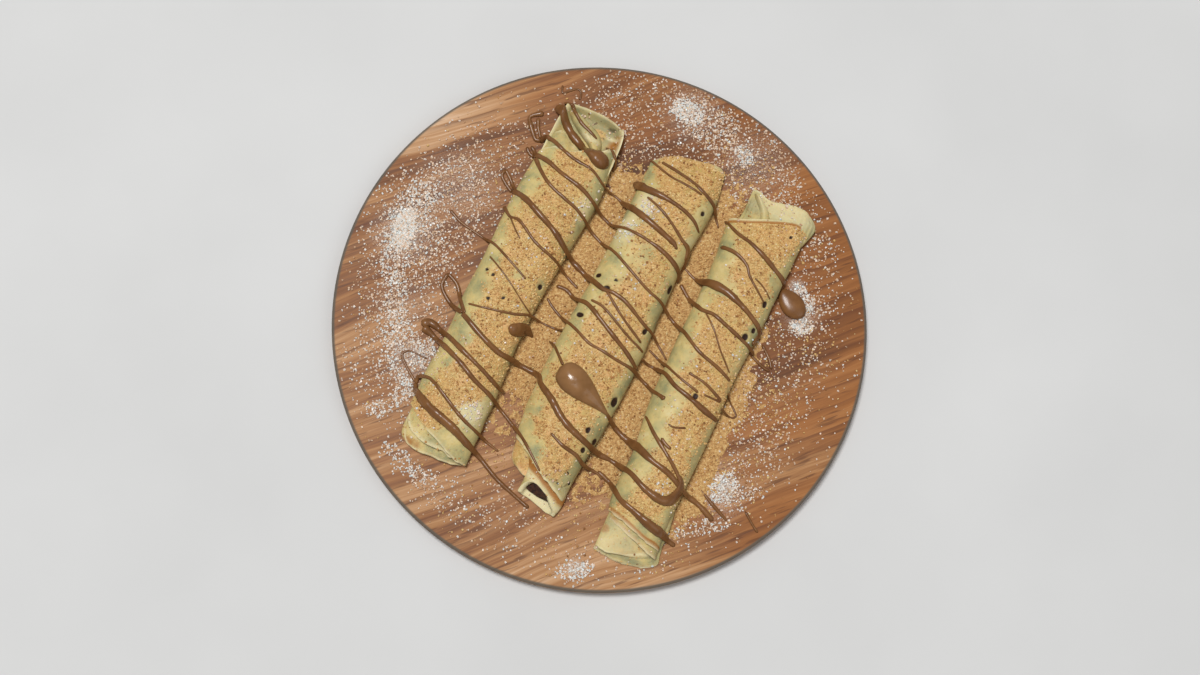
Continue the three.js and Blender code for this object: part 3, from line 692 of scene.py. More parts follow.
class Layer:
    """One turn of the sheet, with its top surface and its closed skin as a rolled sleeve."""

    def __init__(self, crepe, spec, number):
        self.crepe, self.spec, self.number = crepe, spec, number
        self.outer = spec is crepe["layers"][0]
        self.left, self.right = curve(spec["left"]), curve(spec["right"])
        self.start, self.end = curve(spec["start"]), curve(spec["end"])
        self.foot = curve(spec.get("foot", spec["end"]))

    def middle(self, s):
        return (self.left(s) + self.right(s)) / 2

    def half(self, s):
        return (self.right(s) - self.left(s)) / 2

    def crest(self, s, t):
        spec, wave = self.spec, self.crepe["wave"]
        ripple = np.sin(s / ripple_pitch + t / ripple_slant + 2 * wave)
        swell = np.sin(s / swell_pitch + wave) + ripple_share * ripple
        height = spec["height"] * (1 + swell_depth * swell)
        if "start_ease" in spec:
            share = ease((s - self.start(t)) / spec["start_ease"])
            height = spec["start_height"] + (height - spec["start_height"]) * share
        if "end_ease" in spec:
            share = ease((self.end(t) - s) / spec["end_ease"])
            height = spec["end_height"] + (height - spec["end_height"]) * share
        return height + spec.get("lean", 0) * (t - self.middle(s))

    def top(self, s, t):
        u = np.clip((t - self.middle(s)) / self.half(s), -1, 1)
        high = self.crest(s, t)
        if "dish" in self.spec:
            to_edge = np.minimum(s - self.start(t), (1 - np.abs(u)) * self.half(s))
            return high + (self.spec["rim"] - high) * ease(1 - to_edge / self.spec["dish"])
        belly = belly_share * high
        return belly + (high - belly) * (1 - np.abs(u) ** side_squareness) ** (1 / top_squareness)

    def ring(self, v, angle):
        across, up = np.cos(angle), np.sin(angle)
        share = np.where(up >= 0, 2 / side_squareness, foot_share)
        u = np.sign(across) * np.abs(across) ** share
        rough_s = self.start(0.0) + (self.end(0.0) - self.start(0.0)) * v
        rough_t = self.middle(rough_s) + u * self.half(rough_s)
        first = self.start(rough_t) + torn_depth * lumps(rough_t, 0 * rough_t, 2.6, self.number)
        last = self.foot(rough_t) + (self.end(rough_t) - self.foot(rough_t)) * np.maximum(up, 0)
        last = last + torn_depth * lumps(rough_t, 0 * rough_t, 2.6, self.number + 40)
        s = first + (last - first) * v
        t = self.middle(s) + u * self.half(s)
        z = self.top(s, t) * np.where(up >= 0, 1, np.maximum(0, 1 + up / foot_share))
        return s, t, z, u, up

    def rows(self):
        """Each row of the sleeve as (v, inset): the outside runs from lip to lip, and an open end
        turns in over its lip to a pocket as deep as the roll stands open."""
        length = float(self.end(0.0) - self.start(0.0))
        lip, deep = lip_step / length, min(pocket_depth, 0.4 * length) / length
        count = max(4, round(length / row_pitch))
        body = [(v, 0.0) for v in np.linspace(lip, 1 - lip, count)]
        pocket = [(v, 1.0) for v in np.linspace(deep, lip, pocket_rows)]
        turned_in = pocket + [(0.3 * lip, 0.85), (0.0, 0.5), (0.3 * lip, 0.15)]
        shut = [(0.0, 0.0)]
        first, last = (turned_in if end in ("open", "mouth") else shut for end in self.spec["ends"])
        return first + body + [(1 - v, inset) for v, inset in reversed(last)]

    def shape(self):
        """Coordinates and finish values of every point of the sleeve, row by row."""
        rows = self.rows()
        tops = np.linspace(0, math.pi, top_columns, endpoint=False)
        bottoms = np.linspace(math.pi, 2 * math.pi, bottom_columns + 1)
        angle = np.concatenate([tops, bottoms])[None, :]
        v = np.array([row[0] for row in rows])[:, None]
        inset = np.array([row[1] for row in rows])[:, None]
        s, t, z, u, up = self.ring(v + 0 * angle, angle + 0 * v)
        spec, crepe = self.spec, self.crepe
        upper = ease(2.5 * up)
        from_start, from_end = s - self.start(t), self.end(t) - s

        crumbed = dusting(crepe, s, t) if self.outer else 0.8 + 0.6 * lumps(s, t, 4, self.number)
        dust = spec["dusted"] * upper * crumbed
        marks = {name: 0 * s for name in finish_values}
        ragged = 0.12 * lumps(s, t, 1.6, 91)
        holes = [("hole", *hole, 1.0) for hole in crepe["holes"]] if self.outer else []
        for kind, mark_s, mark_t, radius_s, radius_t, amount in holes + spec.get("marks", []):
            grown = hole_growth if kind == "hole" else 1
            far = np.hypot((s - mark_s) / radius_s, (t - mark_t) / radius_t) / grown + ragged
            marks[kind] = np.maximum(marks[kind], amount * ease(1.5 - far) * upper)
        hole = marks["hole"]
        waves = 0
        for rise, pitch, seed in skin_waves:
            waves = waves + rise * lumps(s, t, pitch, self.number + seed)
        calm = ease(np.minimum(from_start, from_end) / 5) * 0.6 + 0.4
        waves = waves + spec.get("ribs", 0) * np.sin(t * rib_pitch + lumps(s, t, 5, 93))
        meal = dust * (0.2 + 0.18 * lumps(s, t, 1.7, self.number + 7))
        z = z + upper * (waves * calm + meal - hole_depth * hole)
        t = t + (1 - upper) * side_wander * u * lumps(s, z, 8, self.number + 9)

        first, last = spec["ends"]
        shut = spec.get("shut", shut_length)
        for end, far in ((first, from_start), (last, from_end)):
            if end == "shut":
                z = z * (0.1 + 0.9 * np.sqrt(1 - (1 - np.clip(far / shut, 0, 1)) ** 2))
        high = np.maximum(self.crest(s, t), thinnest)
        wall = np.minimum(sheet_thickness, wall_share * high) * inset
        t = t - u * wall
        z = wall + z * (high - 2 * wall) / high
        if last == "mouth":
            inside = (v > 0.5) & (inset == 1)
            t = np.where(inside, tunnel_middle(s) + u * (tunnel_half(s) - tunnel_slack), t)
            over = self.crest(np.minimum(s, mouth_reach), t) - sheet_thickness
            roof = np.minimum(tunnel_ceiling, over)
            risen = (z - wall) / (high - 2 * wall) * (roof - sheet_thickness)
            z = np.where(inside, sheet_thickness + risen, z)

        width, amount = spec.get("toast_end", (3, 0.0))
        back = spec.get("toast_back", 0)
        patchy = 0.85 + 0.25 * lumps(s, t, 3, self.number + 11)
        toast = amount * np.exp(-(((from_end - back) / width) ** 2)) * patchy
        back, width, amount = spec.get("toast_start", (0, 1, 0))
        toast = toast + amount * np.exp(-(((from_start - back) / width) ** 2)) + marks["toast"]
        toast = toast + brown_patches * ease(1.4 * lumps(s, t, brown_pitch, self.number + 12))
        to_edge = np.minimum(from_start, from_end)
        if "dish" in spec:
            to_edge = np.minimum(to_edge, (1 - np.abs(u)) * self.half(s))
        edge = np.maximum(np.exp(-(to_edge / spec.get("edge", 0.8)) ** 2), marks["edge"])
        edge = np.maximum(edge, (inset > 0) * 1.0)
        dust = np.maximum(dust, marks["dust"]) * (inset == 0)
        # Painted shade: the right side of the turn, away from the light, and the places marked as
        # shade.
        shade = np.maximum(marks["shade"], side_shade * ease((u - 0.55) / 0.4))
        x, y = plan_point(crepe, s, t)
        z = board_thickness / MM + rest_gap + z
        points = np.stack([x, y, z], -1) * MM
        return points, dict(zip(finish_values, (dust, toast, edge, hole, shade)))


# Tunnel of the middle crepe, which the spread fills and which opens at the mouth of its tube.
tunnel_ceiling, mouth_reach = 8.6, 116
tunnel_middle = curve([(-85, 0), (60, 0.5), (92, 2.4), (104, 5.8), (112, 7.6), (122, 6.8)])
tunnel_half = curve([(-85, 8), (60, 11), (92, 11), (112, 10.8), (130, 11)])


def bent_grid(bm, points, values):
    """A grid bent to the given rows of points, with its values kept in the vertex layers."""
    rows, columns = points.shape[:2]
    kept = bm.verts.layers.float
    layers = {name: kept.get(name) or kept.new(name) for name in values}
    made = bmesh.ops.create_grid(bm, x_segments=rows - 1, y_segments=columns - 1, size=0.5)
    for vert in made["verts"]:
        row = round((vert.co.x + 0.5) * (rows - 1))
        column = round((vert.co.y + 0.5) * (columns - 1))
        vert.co = points[row, column]
        for name, layer in layers.items():
            vert[layer] = values[name][row, column]
    return made["verts"]


def joined(shapes, values=()):
    """Closed shapes put together in one mesh, with the values of their points."""
    bm = bmesh.new()
    for name in values:
        bm.verts.layers.float.new(name)
    for shape in shapes:
        mesh = bpy.data.meshes.new("shape")
        shape.to_mesh(mesh)
        shape.free()
        bm.from_mesh(mesh)
        bpy.data.meshes.remove(mesh)
    return bm


def sleeve(layer):
    """One turn of sheet as a closed skin."""
    bm = bmesh.new()
    bent_grid(bm, *layer.shape())
    bmesh.ops.remove_doubles(bm, verts=bm.verts, dist=0.02 * MM)
    rims = [edge for edge in bm.edges if edge.is_boundary]
    bmesh.ops.holes_fill(bm, edges=rims, sides=0)
    bmesh.ops.recalc_face_normals(bm, faces=bm.faces)
    return bm


def crepe_finish():
    material, tree, shader = new_finish("crepe_skin", 0.55)
    place = object_place(tree)
    batter = [
        (0.33, paint(146, 144, 102)), (0.45, paint(180, 168, 114)),
        (0.57, paint(202, 181, 119)), (0.72, paint(212, 196, 144)),
    ]
    colour = ramp(tree, cloud(tree, place, 80, 4, 0.6), batter)
    spots = between(tree, cloud(tree, place, 420, 2), 0.6, 0.74)
    colour = stained(tree, colour, spots, 0.35, paint(150, 134, 84))
    # Painted shade in greenish grey where the shade value is: the shaded right sides and the
    # hollows.
    colour = stained(tree, colour, value_of(tree, "shade"), 0.8, paint(122, 124, 94))
    toasted = plus(tree, value_of(tree, "toast"), times(tree, cloud(tree, place, 260, 3), 0.5))
    colour = mixed(tree, between(tree, toasted, 0.3, 1.05), colour, paint(160, 104, 42))
    colour = stained(tree, colour, value_of(tree, "edge"), 0.85, paint(221, 209, 166))

    # The fine meal of the crumbs, which fills in under and between the loose ones.
    ground = [
        (0.32, paint(184, 158, 92)), (0.5, paint(206, 166, 100)), (0.66, paint(212, 160, 104)),
    ]
    meal = ramp(tree, cloud(tree, place, 150, 3, 0.6), ground)
    speck = cloud(tree, place, 620, 3, 0.75)
    dark_speck = less(tree, 1.0, speck)
    meal = stained(tree, meal, between(tree, speck, 0.55, 0.66), 0.6, paint(232, 206, 146))
    meal = stained(tree, meal, between(tree, dark_speck, 0.56, 0.66), 0.6, paint(156, 106, 52))
    broken = less(tree, cloud(tree, place, 420, 5, 0.85), 0.5)
    uneven = plus(tree, value_of(tree, "dust"), times(tree, broken, 1.3))
    cover = times(tree, between(tree, uneven, -0.02, 0.72), 0.85)
    colour = mixed(tree, cover, colour, meal)
    flakes = between(tree, cloud(tree, place, 380, 2, 0.6), 0.6, 0.69)
    flakes = times(tree, flakes, plus(tree, 0.12, cover))
    colour = stained(tree, colour, flakes, 0.6, paint(142, 92, 44))
    burst = between(tree, value_of(tree, "hole"), 0.25, 0.75)
    colour = mixed(tree, burst, colour, paint(46, 26, 16))
    # Dark brown flecks where the shade value is: partly toasted spots, partly painted contact
    # shadow along the shaded sides of the rolls.
    toast_and_shadow_flecks = between(tree, cloud(tree, place, 260, 3, 0.7), 0.6, 0.66)
    colour = stained(tree, colour, toast_and_shadow_flecks, value_of(tree, "shade"), paint(96, 68, 38))
    paint_with(tree, shader, colour)
    relief(tree, shader, cloud(tree, place, 900, 2), 0.25 * MM, 0.5)
    shader.inputs["Specular IOR Level"].default_value = 0.3
    shader.inputs["Subsurface Weight"].default_value = 0.12
    shader.inputs["Subsurface Radius"].default_value = (2.0, 1.4, 0.7)
    shader.inputs["Subsurface Scale"].default_value = 1 * MM
    return material


crepe_skin = crepe_finish()
crepe_pieces = {}
for order, (side, crepe) in enumerate(crepes.items()):
    specs = enumerate(crepe["layers"])
    crepe["parts"] = [Layer(crepe, spec, 100 * order + 10 * k + min(k, 1)) for k, spec in specs]
    rolled = joined(map(sleeve, crepe["parts"]), finish_values)
    piece = finish_mesh(rolled, f"rolled_crepe_{side}", crepe_skin)
    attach(piece, "root")
    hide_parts(f"crepe_{side}")
    crepe_pieces[side] = piece


# ---- Spread inside the middle crepe -------------------------------------------------------
# A dark chocolate spread, rolled in with the sheet, that fills the flat tunnel of the crepe
# from its shut end to its open mouth, where it shows as a rough dark face.

spread_from, spread_to = -83.6, 118.5
spread_rows, spread_columns = 150, 29
spread_squareness = 0.8
spread_blunt_start, spread_blunt_end = 4, 3
spread_clear, spread_side_gap = 0.4, 0.5
# The face at the mouth slopes back from the roof of the tube and is rough.
mouth_from, face_slope, face_length = 90, 0.86, 1.5
face_rough, skin_rough, rough_pitch = 0.8, 0.25, 3


def pod(points):
    """A grid of rings bent into a closed body: the seam and both end points are merged."""
    bm = bmesh.new()
    bent_grid(bm, points, {})
    bmesh.ops.remove_doubles(bm, verts=bm.verts, dist=0.004 * MM)
    bmesh.ops.recalc_face_normals(bm, faces=bm.faces)
    return bm


def rounded(reach):
    """0 at an end, and round like a quarter circle up to 1 where the reach is 1."""
    return np.sqrt(np.clip(1 - (1 - np.clip(reach, 0, 1)) ** 2, 0, 1))


def spread_shape():
    share = np.linspace(0, 1, spread_rows)[:, None]
    angle = np.linspace(0, 2 * math.pi, spread_columns)[None, :]
    angle = np.where(angle == 2 * math.pi, 0.0, angle)
    s = spread_from + (spread_to - spread_from) * (0.5 - 0.5 * np.cos(math.pi * share)) + 0 * angle
    blunt = rounded((s - spread_from) / spread_blunt_start)
    blunt = blunt * rounded((spread_to - s) / spread_blunt_end)
    t = tunnel_middle(s) + (tunnel_half(s) - spread_side_gap) * np.cos(angle) * blunt
    tube = crepes["middle"]["parts"][1]
    over = tube.top(np.minimum(s, mouth_reach), t) - sheet_thickness
    roof = np.minimum(tunnel_ceiling, np.where(s > mouth_from, over, tunnel_ceiling))
    floor = sheet_thickness + spread_clear
    past_lip = np.clip((s - tube.end(t) + 1) / (spread_to - tube.end(t) + face_length), 0, 1)
    roof = floor + (roof - spread_clear - floor) * (1 - face_slope * past_lip)
    rise = np.sign(np.sin(angle)) * np.abs(np.sin(angle)) ** spread_squareness * blunt
    z = (floor + roof) / 2 + (roof - floor) / 2 * rise
    s = s + face_rough * blunt * lumps(t, z, rough_pitch, 71) * ease((s - 100) / 12)
    z = z + skin_rough * blunt * lumps(s, t, rough_pitch, 72)
    x, y = plan_point(crepes["middle"], s, t)
    return np.stack([x, y, board_thickness / MM + rest_gap + z], -1) * MM


def spread_finish():
    material, tree, shader = new_finish("dark_spread", 0.35)
    place = object_place(tree)
    stops = [(0.3, paint(34, 18, 12)), (0.7, paint(78, 46, 28))]
    colour = ramp(tree, cloud(tree, place, 420, 3), stops)
    paint_with(tree, shader, colour)
    relief(tree, shader, cloud(tree, place, 600, 3), 0.4 * MM)
    return material


spread = finish_mesh(pod(spread_shape()), "dark_spread", spread_finish())
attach(spread, "root")
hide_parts("filling_middle")


# ---- Chocolate drizzle --------------------------------------------------------------------
# Warm milk chocolate, poured from a bottle in quick slanting passes over all three rolls. Each
# run is a glossy bead that lies on the rolls, dips to the board between them and then sets.

# Plan points and widths of each run, in millimetres, from its upper end.
runs = {
    "fold_blob": [
        (-26.2, 134.4, 5), (-24.2, 131.4, 5.6), (-22.4, 127.2, 5), (-20.9, 122.5, 5),
        (-17.5, 115.6, 5.2), (-13, 109.3, 5.4), (-8, 103.2, 6.4), (-3.6, 98.8, 8.8),
        (0.4, 95, 10.8), (4, 91.6, 8.8),
    ],
    "fold_edge": [
        (-21.5, 136.4, 2.8), (-17.3, 133, 2.6), (-14.3, 126.1, 2.4), (-11, 120.4, 2.3),
        (-6.2, 115.4, 2.1), (-2, 110.7, 1.2),
    ],
    "fold_tail": [(3.4, 106.9, 1.2), (7, 102.8, 1.8), (9.3, 96.8, 1.8), (7.8, 92.2, 1.2)],
    "board_hook": [
        (-22.5, 147.5, 1.2), (-22.5, 142.5, 1.2), (-17.5, 144, 1.2), (-13.5, 145, 1.2),
        (-11.5, 143.5, 1.2), (-11.5, 140, 1.2), (-12.5, 138, 1.2),
    ],
    "arm_top_a": [
        (-34, 129.5, 4.2), (-42.5, 127, 2.4), (-42, 121.5, 3), (-40.5, 116, 2.4), (-39, 112.5, 2.4),
        (-35.5, 112, 3),
    ],
    "arm_top_b": [(-37.5, 126.5, 2.1), (-37.5, 120, 2.1), (-36, 113, 2.1)],
    "arm_top": [
        (-36.5, 110.5, 3), (-33.5, 112.5, 3), (-30, 110, 2.7), (-23.5, 103, 2.4), (-16, 96, 2.4),
        (-5.5, 89, 1.8), (1, 81.5, 1.8), (10, 76, 1.8), (20, 64.5, 4.2), (31.5, 53.5, 3.6),
        (42, 44, 3), (44.5, 40, 1.2),
    ],
    "second_a": [(-44.5, 108, 2.1), (-43, 104, 2.1), (-40, 101, 2.1)],
    "second_b": [(-42, 108.5, 2.1), (-40, 105, 2.1), (-39.5, 99, 2.1)],
    "second": [
        (-40, 101.5, 3.6), (-31.5, 94.5, 3), (-23.5, 86.5, 2.7), (-11.5, 76.5, 2.7),
        (-5.5, 70.5, 2.4), (1.5, 63.5, 2.4), (7, 58, 2.1), (18, 51, 1.8), (31.5, 42, 2.4),
        (40.5, 34, 3.6), (46, 27, 3), (45.5, 22.5, 1.8),
    ],
    "third": [
        (-39.5, 99, 2.4), (-36, 88.5, 2.4), (-31, 79.5, 2.1), (-22, 70.5, 2.1), (-14.5, 64, 2.1),
        (-4, 52.5, 2.1), (6, 40.5, 1.8), (15.5, 28, 1.8), (26.5, 15, 1.8), (36, 7.5, 2.1),
        (44.5, -3, 2.1), (55, -20.5, 2.1), (66, -30.5, 2.4), (74.5, -38.5, 1.8),
    ],
    "fourth_a": [(-57.5, 93.5, 2.1), (-59.5, 90, 2.1), (-57.5, 85, 2.1), (-53.5, 79, 2.1)],
    "fourth_b": [(-57.5, 93.5, 2.1), (-55.5, 90, 2.1), (-53.5, 85, 2.1), (-51, 77, 2.1)],
    "fourth": [
        (-53.5, 79, 3), (-44.5, 70, 3.6), (-38, 62, 3.6), (-28.5, 51, 3.6), (-21.5, 41, 3.6),
        (-11, 29.5, 3.6), (-1, 17, 3), (6, 13.5, 2.4), (13, 8, 2.4), (24, -5, 2.1), (31, -11, 1.8),
        (38.5, -24, 1.2),
    ],
    "fourth_twin": [(2, 15, 1.8), (9.5, 1.5, 1.5), (15, -6.5, 1.5), (22.5, -16, 1.5)],
    "fifth": [
        (-58.5, 70, 1.8), (-54.5, 60.5, 1.8), (-49.5, 58, 1.8), (-39, 43.5, 1.8), (-24.5, 31, 1.8),
        (-14, 19.5, 1.8),
    ],
    "fifth_thread": [(-54.5, 60.5, 0.9), (-51.5, 52.5, 0.9), (-48.5, 46, 0.9)],
    "sixth": [
        (-90.5, 68, 1.8), (-84, 60.5, 1.5), (-68, 48.5, 1.5), (-55.5, 34, 1.5), (-45, 21.5, 1.2),
    ],
    "thread": [(-66.5, 36.5, 0.9), (-56, 22, 0.9), (-47, 8, 0.9), (-41.5, 1, 0.9)],
    "cross": [
        (-79, 7.5, 1.2), (-69.5, 4.5, 1.2), (-52.5, 1, 1.5), (-41.5, 1, 1.5), (-31, -3.5, 1.5),
        (-23, -6.5, 1.5),
    ],
    "blot": [(-55.5, -7, 5.4), (-50.5, -8, 7.7), (-45, -6.5, 5.4), (-41, -10.5, 1.8)],
    "seventh": [
        (-27, 21.5, 2.4), (-20.5, 18.5, 2.7), (-16, 13, 2.7), (-9, 7.5, 2.7), (-0.5, -4, 2.7),
        (7.5, -14.5, 2.7), (14, -22.5, 2.7), (20, -31, 2.4),
    ],
    "seventh_twin": [(-7, 10, 1.5), (0, 5, 1.5), (14, -12, 1.5), (24, -21, 1.5)],
    "twin_tail": [(28, -17.5, 1.5), (33.5, -23.5, 1.5), (43, -35.5, 1.5), (55, -46, 1.5)],
    "eighth": [
        (-32.5, 14, 1.8), (-28.5, 7.5, 1.8), (-15, -9, 1.8), (-8.5, -16.5, 1.8), (-1, -21, 1.8),
        (7.5, -26.5, 1.8), (18.5, -32, 2.4), (25.5, -38, 2.1), (29.5, -43.5, 2.1),
        (33.5, -47.5, 2.4), (35.5, -49.5, 4.2),
    ],
    "long_loop": [(-91.5, 29, 2.4), (-95, 21.5, 2.4), (-90.5, 11.5, 2.4), (-82.5, 2, 2.4)],
    "long_loop_b": [(-91.5, 29, 2.4), (-86, 22, 2.4), (-84, 12.5, 2.4), (-81, 1.5, 2.4)],
    "long": [
        (-82.5, 2, 3), (-71, -12, 3.3), (-60.5, -22, 3.3), (-50.5, -26, 3.6), (-38, -33.5, 3.3),
        (-36.5, -39.5, 3), (-30, -50, 4.2), (-25, -59.5, 4.2), (-18.5, -67.5, 4.2),
        (-6.5, -77.5, 3.9), (5.5, -84, 3), (14.5, -91.5, 3), (22, -100.5, 3.6), (29.5, -106.5, 5.4),
        (36, -108.5, 5.9), (42, -104.5, 5.4), (44.5, -99, 3.6), (43, -93.5, 2.4),
    ],
    "ninth_top": [
        (-107, -2.5, 6.5), (-102, -1, 5.4), (-96, -5.5, 3), (-82, -20.5, 3), (-71.5, -31, 2.7),
        (-60.5, -42, 2.4), (-57.5, -43, 1.8),
    ],
    "ninth": [
        (-106, -3.5, 6.5), (-100.5, -8.5, 3.6), (-92, -18, 3), (-83, -28, 3), (-74.5, -38.5, 3),
        (-65, -47.5, 2.7), (-54, -61, 2.1), (-47, -71.5, 1.8), (-41.5, -82, 1.5), (-37, -91, 1.2),
    ],
    "rim_thread": [
        (-103, -23, 0.9), (-110, -19.5, 0.9), (-114.5, -18, 1.2), (-118, -20, 1.5),
        (-115.5, -27, 1.5), (-110, -36.5, 1.8),
    ],
    "tenth_loop": [
        (-109.5, -38, 2.4), (-108.5, -34, 2.4), (-104.5, -34.5, 2.4), (-100, -37, 2.1),
        (-92.5, -46.5, 2.1), (-81.5, -60.5, 2.1), (-69, -71.5, 1.8), (-61, -78, 1.2),
    ],
    "tenth": [
        (-110, -37, 2.4), (-109.5, -42, 3.6), (-101.5, -53, 5.4), (-87.5, -65.5, 5.4),
        (-79.5, -74, 4.2), (-72.5, -81, 3), (-62, -94, 2.7), (-53, -102.5, 2.4), (-43.5, -111, 2.4),
    ],
    "drop_neck": [(-31.5, -12, 0.9), (-28.6, -16, 1.5), (-26.4, -22, 1.5), (-23.6, -29.5, 1.8)],
    "drop_tail": [
        (1.5, -57, 2.0), (10, -67.5, 3.6), (18.5, -75.5, 4.8), (26.5, -84.5, 3.6),
        (36.5, -92.5, 3.3), (45, -101.5, 3), (55, -109, 3.6), (64, -119, 3),
    ],
    "eleventh": [
        (-31, -69, 1.5), (-24, -76.5, 2.1), (-16, -82, 2.4), (-12, -86.5, 3), (-4, -90.5, 1.8),
        (-0.5, -94.5, 1.2),
    ],
    "twelfth": [
        (-3, -89.5, 2.1), (4, -97, 3), (9, -107, 3), (16.5, -114, 3.6), (25.5, -122, 5.4),
        (34.5, -128, 5.4), (37.5, -130.5, 3), (41.5, -133.5, 3),
    ],
    "inner_loop": [
        (24.5, -58, 1.2), (28.5, -68.5, 2.1), (34, -78.5, 2.4), (40, -89, 2.4), (44.5, -98.5, 2.4),
    ],
    "dab_a": [(33, -72, 2.1), (35, -75.5, 2.1), (38.5, -79, 2.1)],
    "dab_b": [(37, -64, 1.2), (40, -66, 1.2), (47.5, -66.5, 1.2)],
    "board_dab": [(57, -100.5, 0.9), (63.5, -109, 2.4), (69.5, -116, 1.8), (72, -119, 0.9)],
    "board_dab_b": [(83, -113.5, 1.5), (87.5, -122, 1.5), (90, -126, 1.5)],
    "cap_a": [(30.5, 99.5, 1.5), (41, 86.5, 1.5), (50.5, 80, 1.5), (60, 73.5, 1.5)],
    "cap_b": [
        (37, 97, 1.8), (45.5, 90, 2.1), (54.5, 82.5, 2.1), (61, 75.5, 2.4), (68, 68.5, 2.7),
        (69, 66.5, 2.4), (71.5, 57, 1.2),
    ],
    "cap_c": [
        (20.5, 86, 3.6), (24.5, 80, 5.9), (29, 76.5, 4.8), (39, 70.5, 3), (47.5, 64.5, 2.4),
        (55, 57.5, 2.1), (58.5, 51.5, 1.2),
    ],
    "cap_d": [
        (27, 72.5, 1.5), (34.5, 64.5, 1.5), (41, 56, 1.8), (47.5, 46, 2.4), (51.5, 41.5, 3.6),
        (50.5, 36, 3.6), (47, 28.5, 2.4),
    ],
    "right_a": [
        (75, 61.5, 1.2), (81, 51.5, 2.4), (88, 44.5, 2.4), (95.5, 36, 3), (102.5, 28, 3),
        (110, 21, 3.6),
    ],
    "right_b": [
        (71, 43.5, 2.4), (79.5, 37.5, 2.4), (85.5, 30, 1.8), (87, 23.5, 1.5), (95.5, 8, 1.2),
    ],
    "right_b_thread": [(90, 22.5, 0.9), (94.5, 18, 0.9), (99.5, 10.5, 0.9)],
    "right_c": [
        (50, 32.5, 1.2), (57, 25, 2.4), (65, 20, 5.4), (73.5, 14, 4.8), (81, 6.5, 3.6),
        (88, -1.5, 3.3), (93, -8.5, 3.3), (88.5, -16.5, 2.4),
    ],
    "right_c_loop_a": [(89, -21, 1.8), (96.5, -28.5, 1.8), (100, -30.5, 1.8)],
    "right_c_loop_b": [(96, -14.5, 1.8), (100, -23.5, 1.8), (101, -29.5, 1.8)],
    "right_d": [
        (47.5, 22.5, 2.4), (57.5, 5, 2.4), (65, 0.5, 2.4), (72, -6, 2.4), (80.5, -13.5, 2.4),
        (90.5, -21, 2.4),
    ],
    "right_d_thread": [(60.5, 2, 1.1), (65, -9, 1.1), (68.5, -21, 1.1), (74, -34, 1.1)],
    "right_e": [
        (23, -24, 1.8), (35, -32, 2.4), (41.5, -41.5, 2.4), (49.5, -48.5, 3), (59.5, -57, 3.6),
        (67, -61.5, 3),
    ],
    "right_f": [(49.5, -34, 1.5), (59, -40.5, 1.8), (69, -50.5, 2.4)],
    "right_f_twin": [(58, -47, 1.2), (63, -49, 1.2), (68.5, -51, 1.2)],
    "edge_loop": [(73.5, -45, 1.5), (79, -57, 1.5), (76.5, -58.5, 1.5), (69, -54, 1.5)],
}
run_pitch = 0.8
run_columns = 13
# Where across a bead its bed is felt, as a share of its half width.
rail_share = 0.8
bead_rise, bead_sink = 0.4, 0.12
bed_lift = 0.35
steepest_run = 1.5
steepest_side, side_lift = 1.1, 0.5
softening_passes = 3
bead_swell = 0.1


def combined_surface(pieces):
    """Every piece given, as one tree that rays can be cast at."""
    bm = bmesh.new()
    for piece in pieces:
        bm.from_mesh(piece.data)
    tree = BVHTree.FromBMesh(bm)
    bm.free()
    return tree


rolls_surface = combined_surface(crepe_pieces.values())
sky = 60 * MM
downwards = Vector((0, 0, -1))


def height_under(x, y):
    """Height, in millimetres, of the rolls or the board under each plan point."""
    x, y = np.broadcast_arrays(x, y)
    heights = np.empty(x.shape)
    for index in np.ndindex(x.shape):
        hit = rolls_surface.ray_cast(Vector((x[index] * MM, y[index] * MM, sky)), downwards)[0]
        heights[index] = board_thickness / MM if hit is None else hit.z / MM
    return heights


def sampled(points, pitch):
    """A smooth line through (x, y, width) points, sampled one pitch apart."""
    knots = np.array(points, float)
    steps = np.hypot(*np.diff(knots[:, :2], axis=0).T)
    along = np.concatenate([[0], np.cumsum(steps)])
    places = np.linspace(0, along[-1], max(5, round(along[-1] / pitch) + 1))
    return np.stack([curve(np.stack([along, knots[:, k]], 1))(places) for k in range(3)], 1), places


def draped(heights, step):
    """A run that rests on every high point and falls no steeper than chocolate hangs."""
    drop = steepest_run * step
    rest = heights.copy()
    for i in range(1, len(rest)):
        rest[i] = np.maximum(rest[i], rest[i - 1] - drop)
    for i in range(len(rest) - 2, -1, -1):
        rest[i] = np.maximum(rest[i], rest[i + 1] - drop)
    for _ in range(softening_passes):
        soft = rest.copy()
        soft[1:-1] = (rest[:-2] + 2 * rest[1:-1] + rest[2:]) / 4
        rest = np.maximum(soft, heights)
    return rest


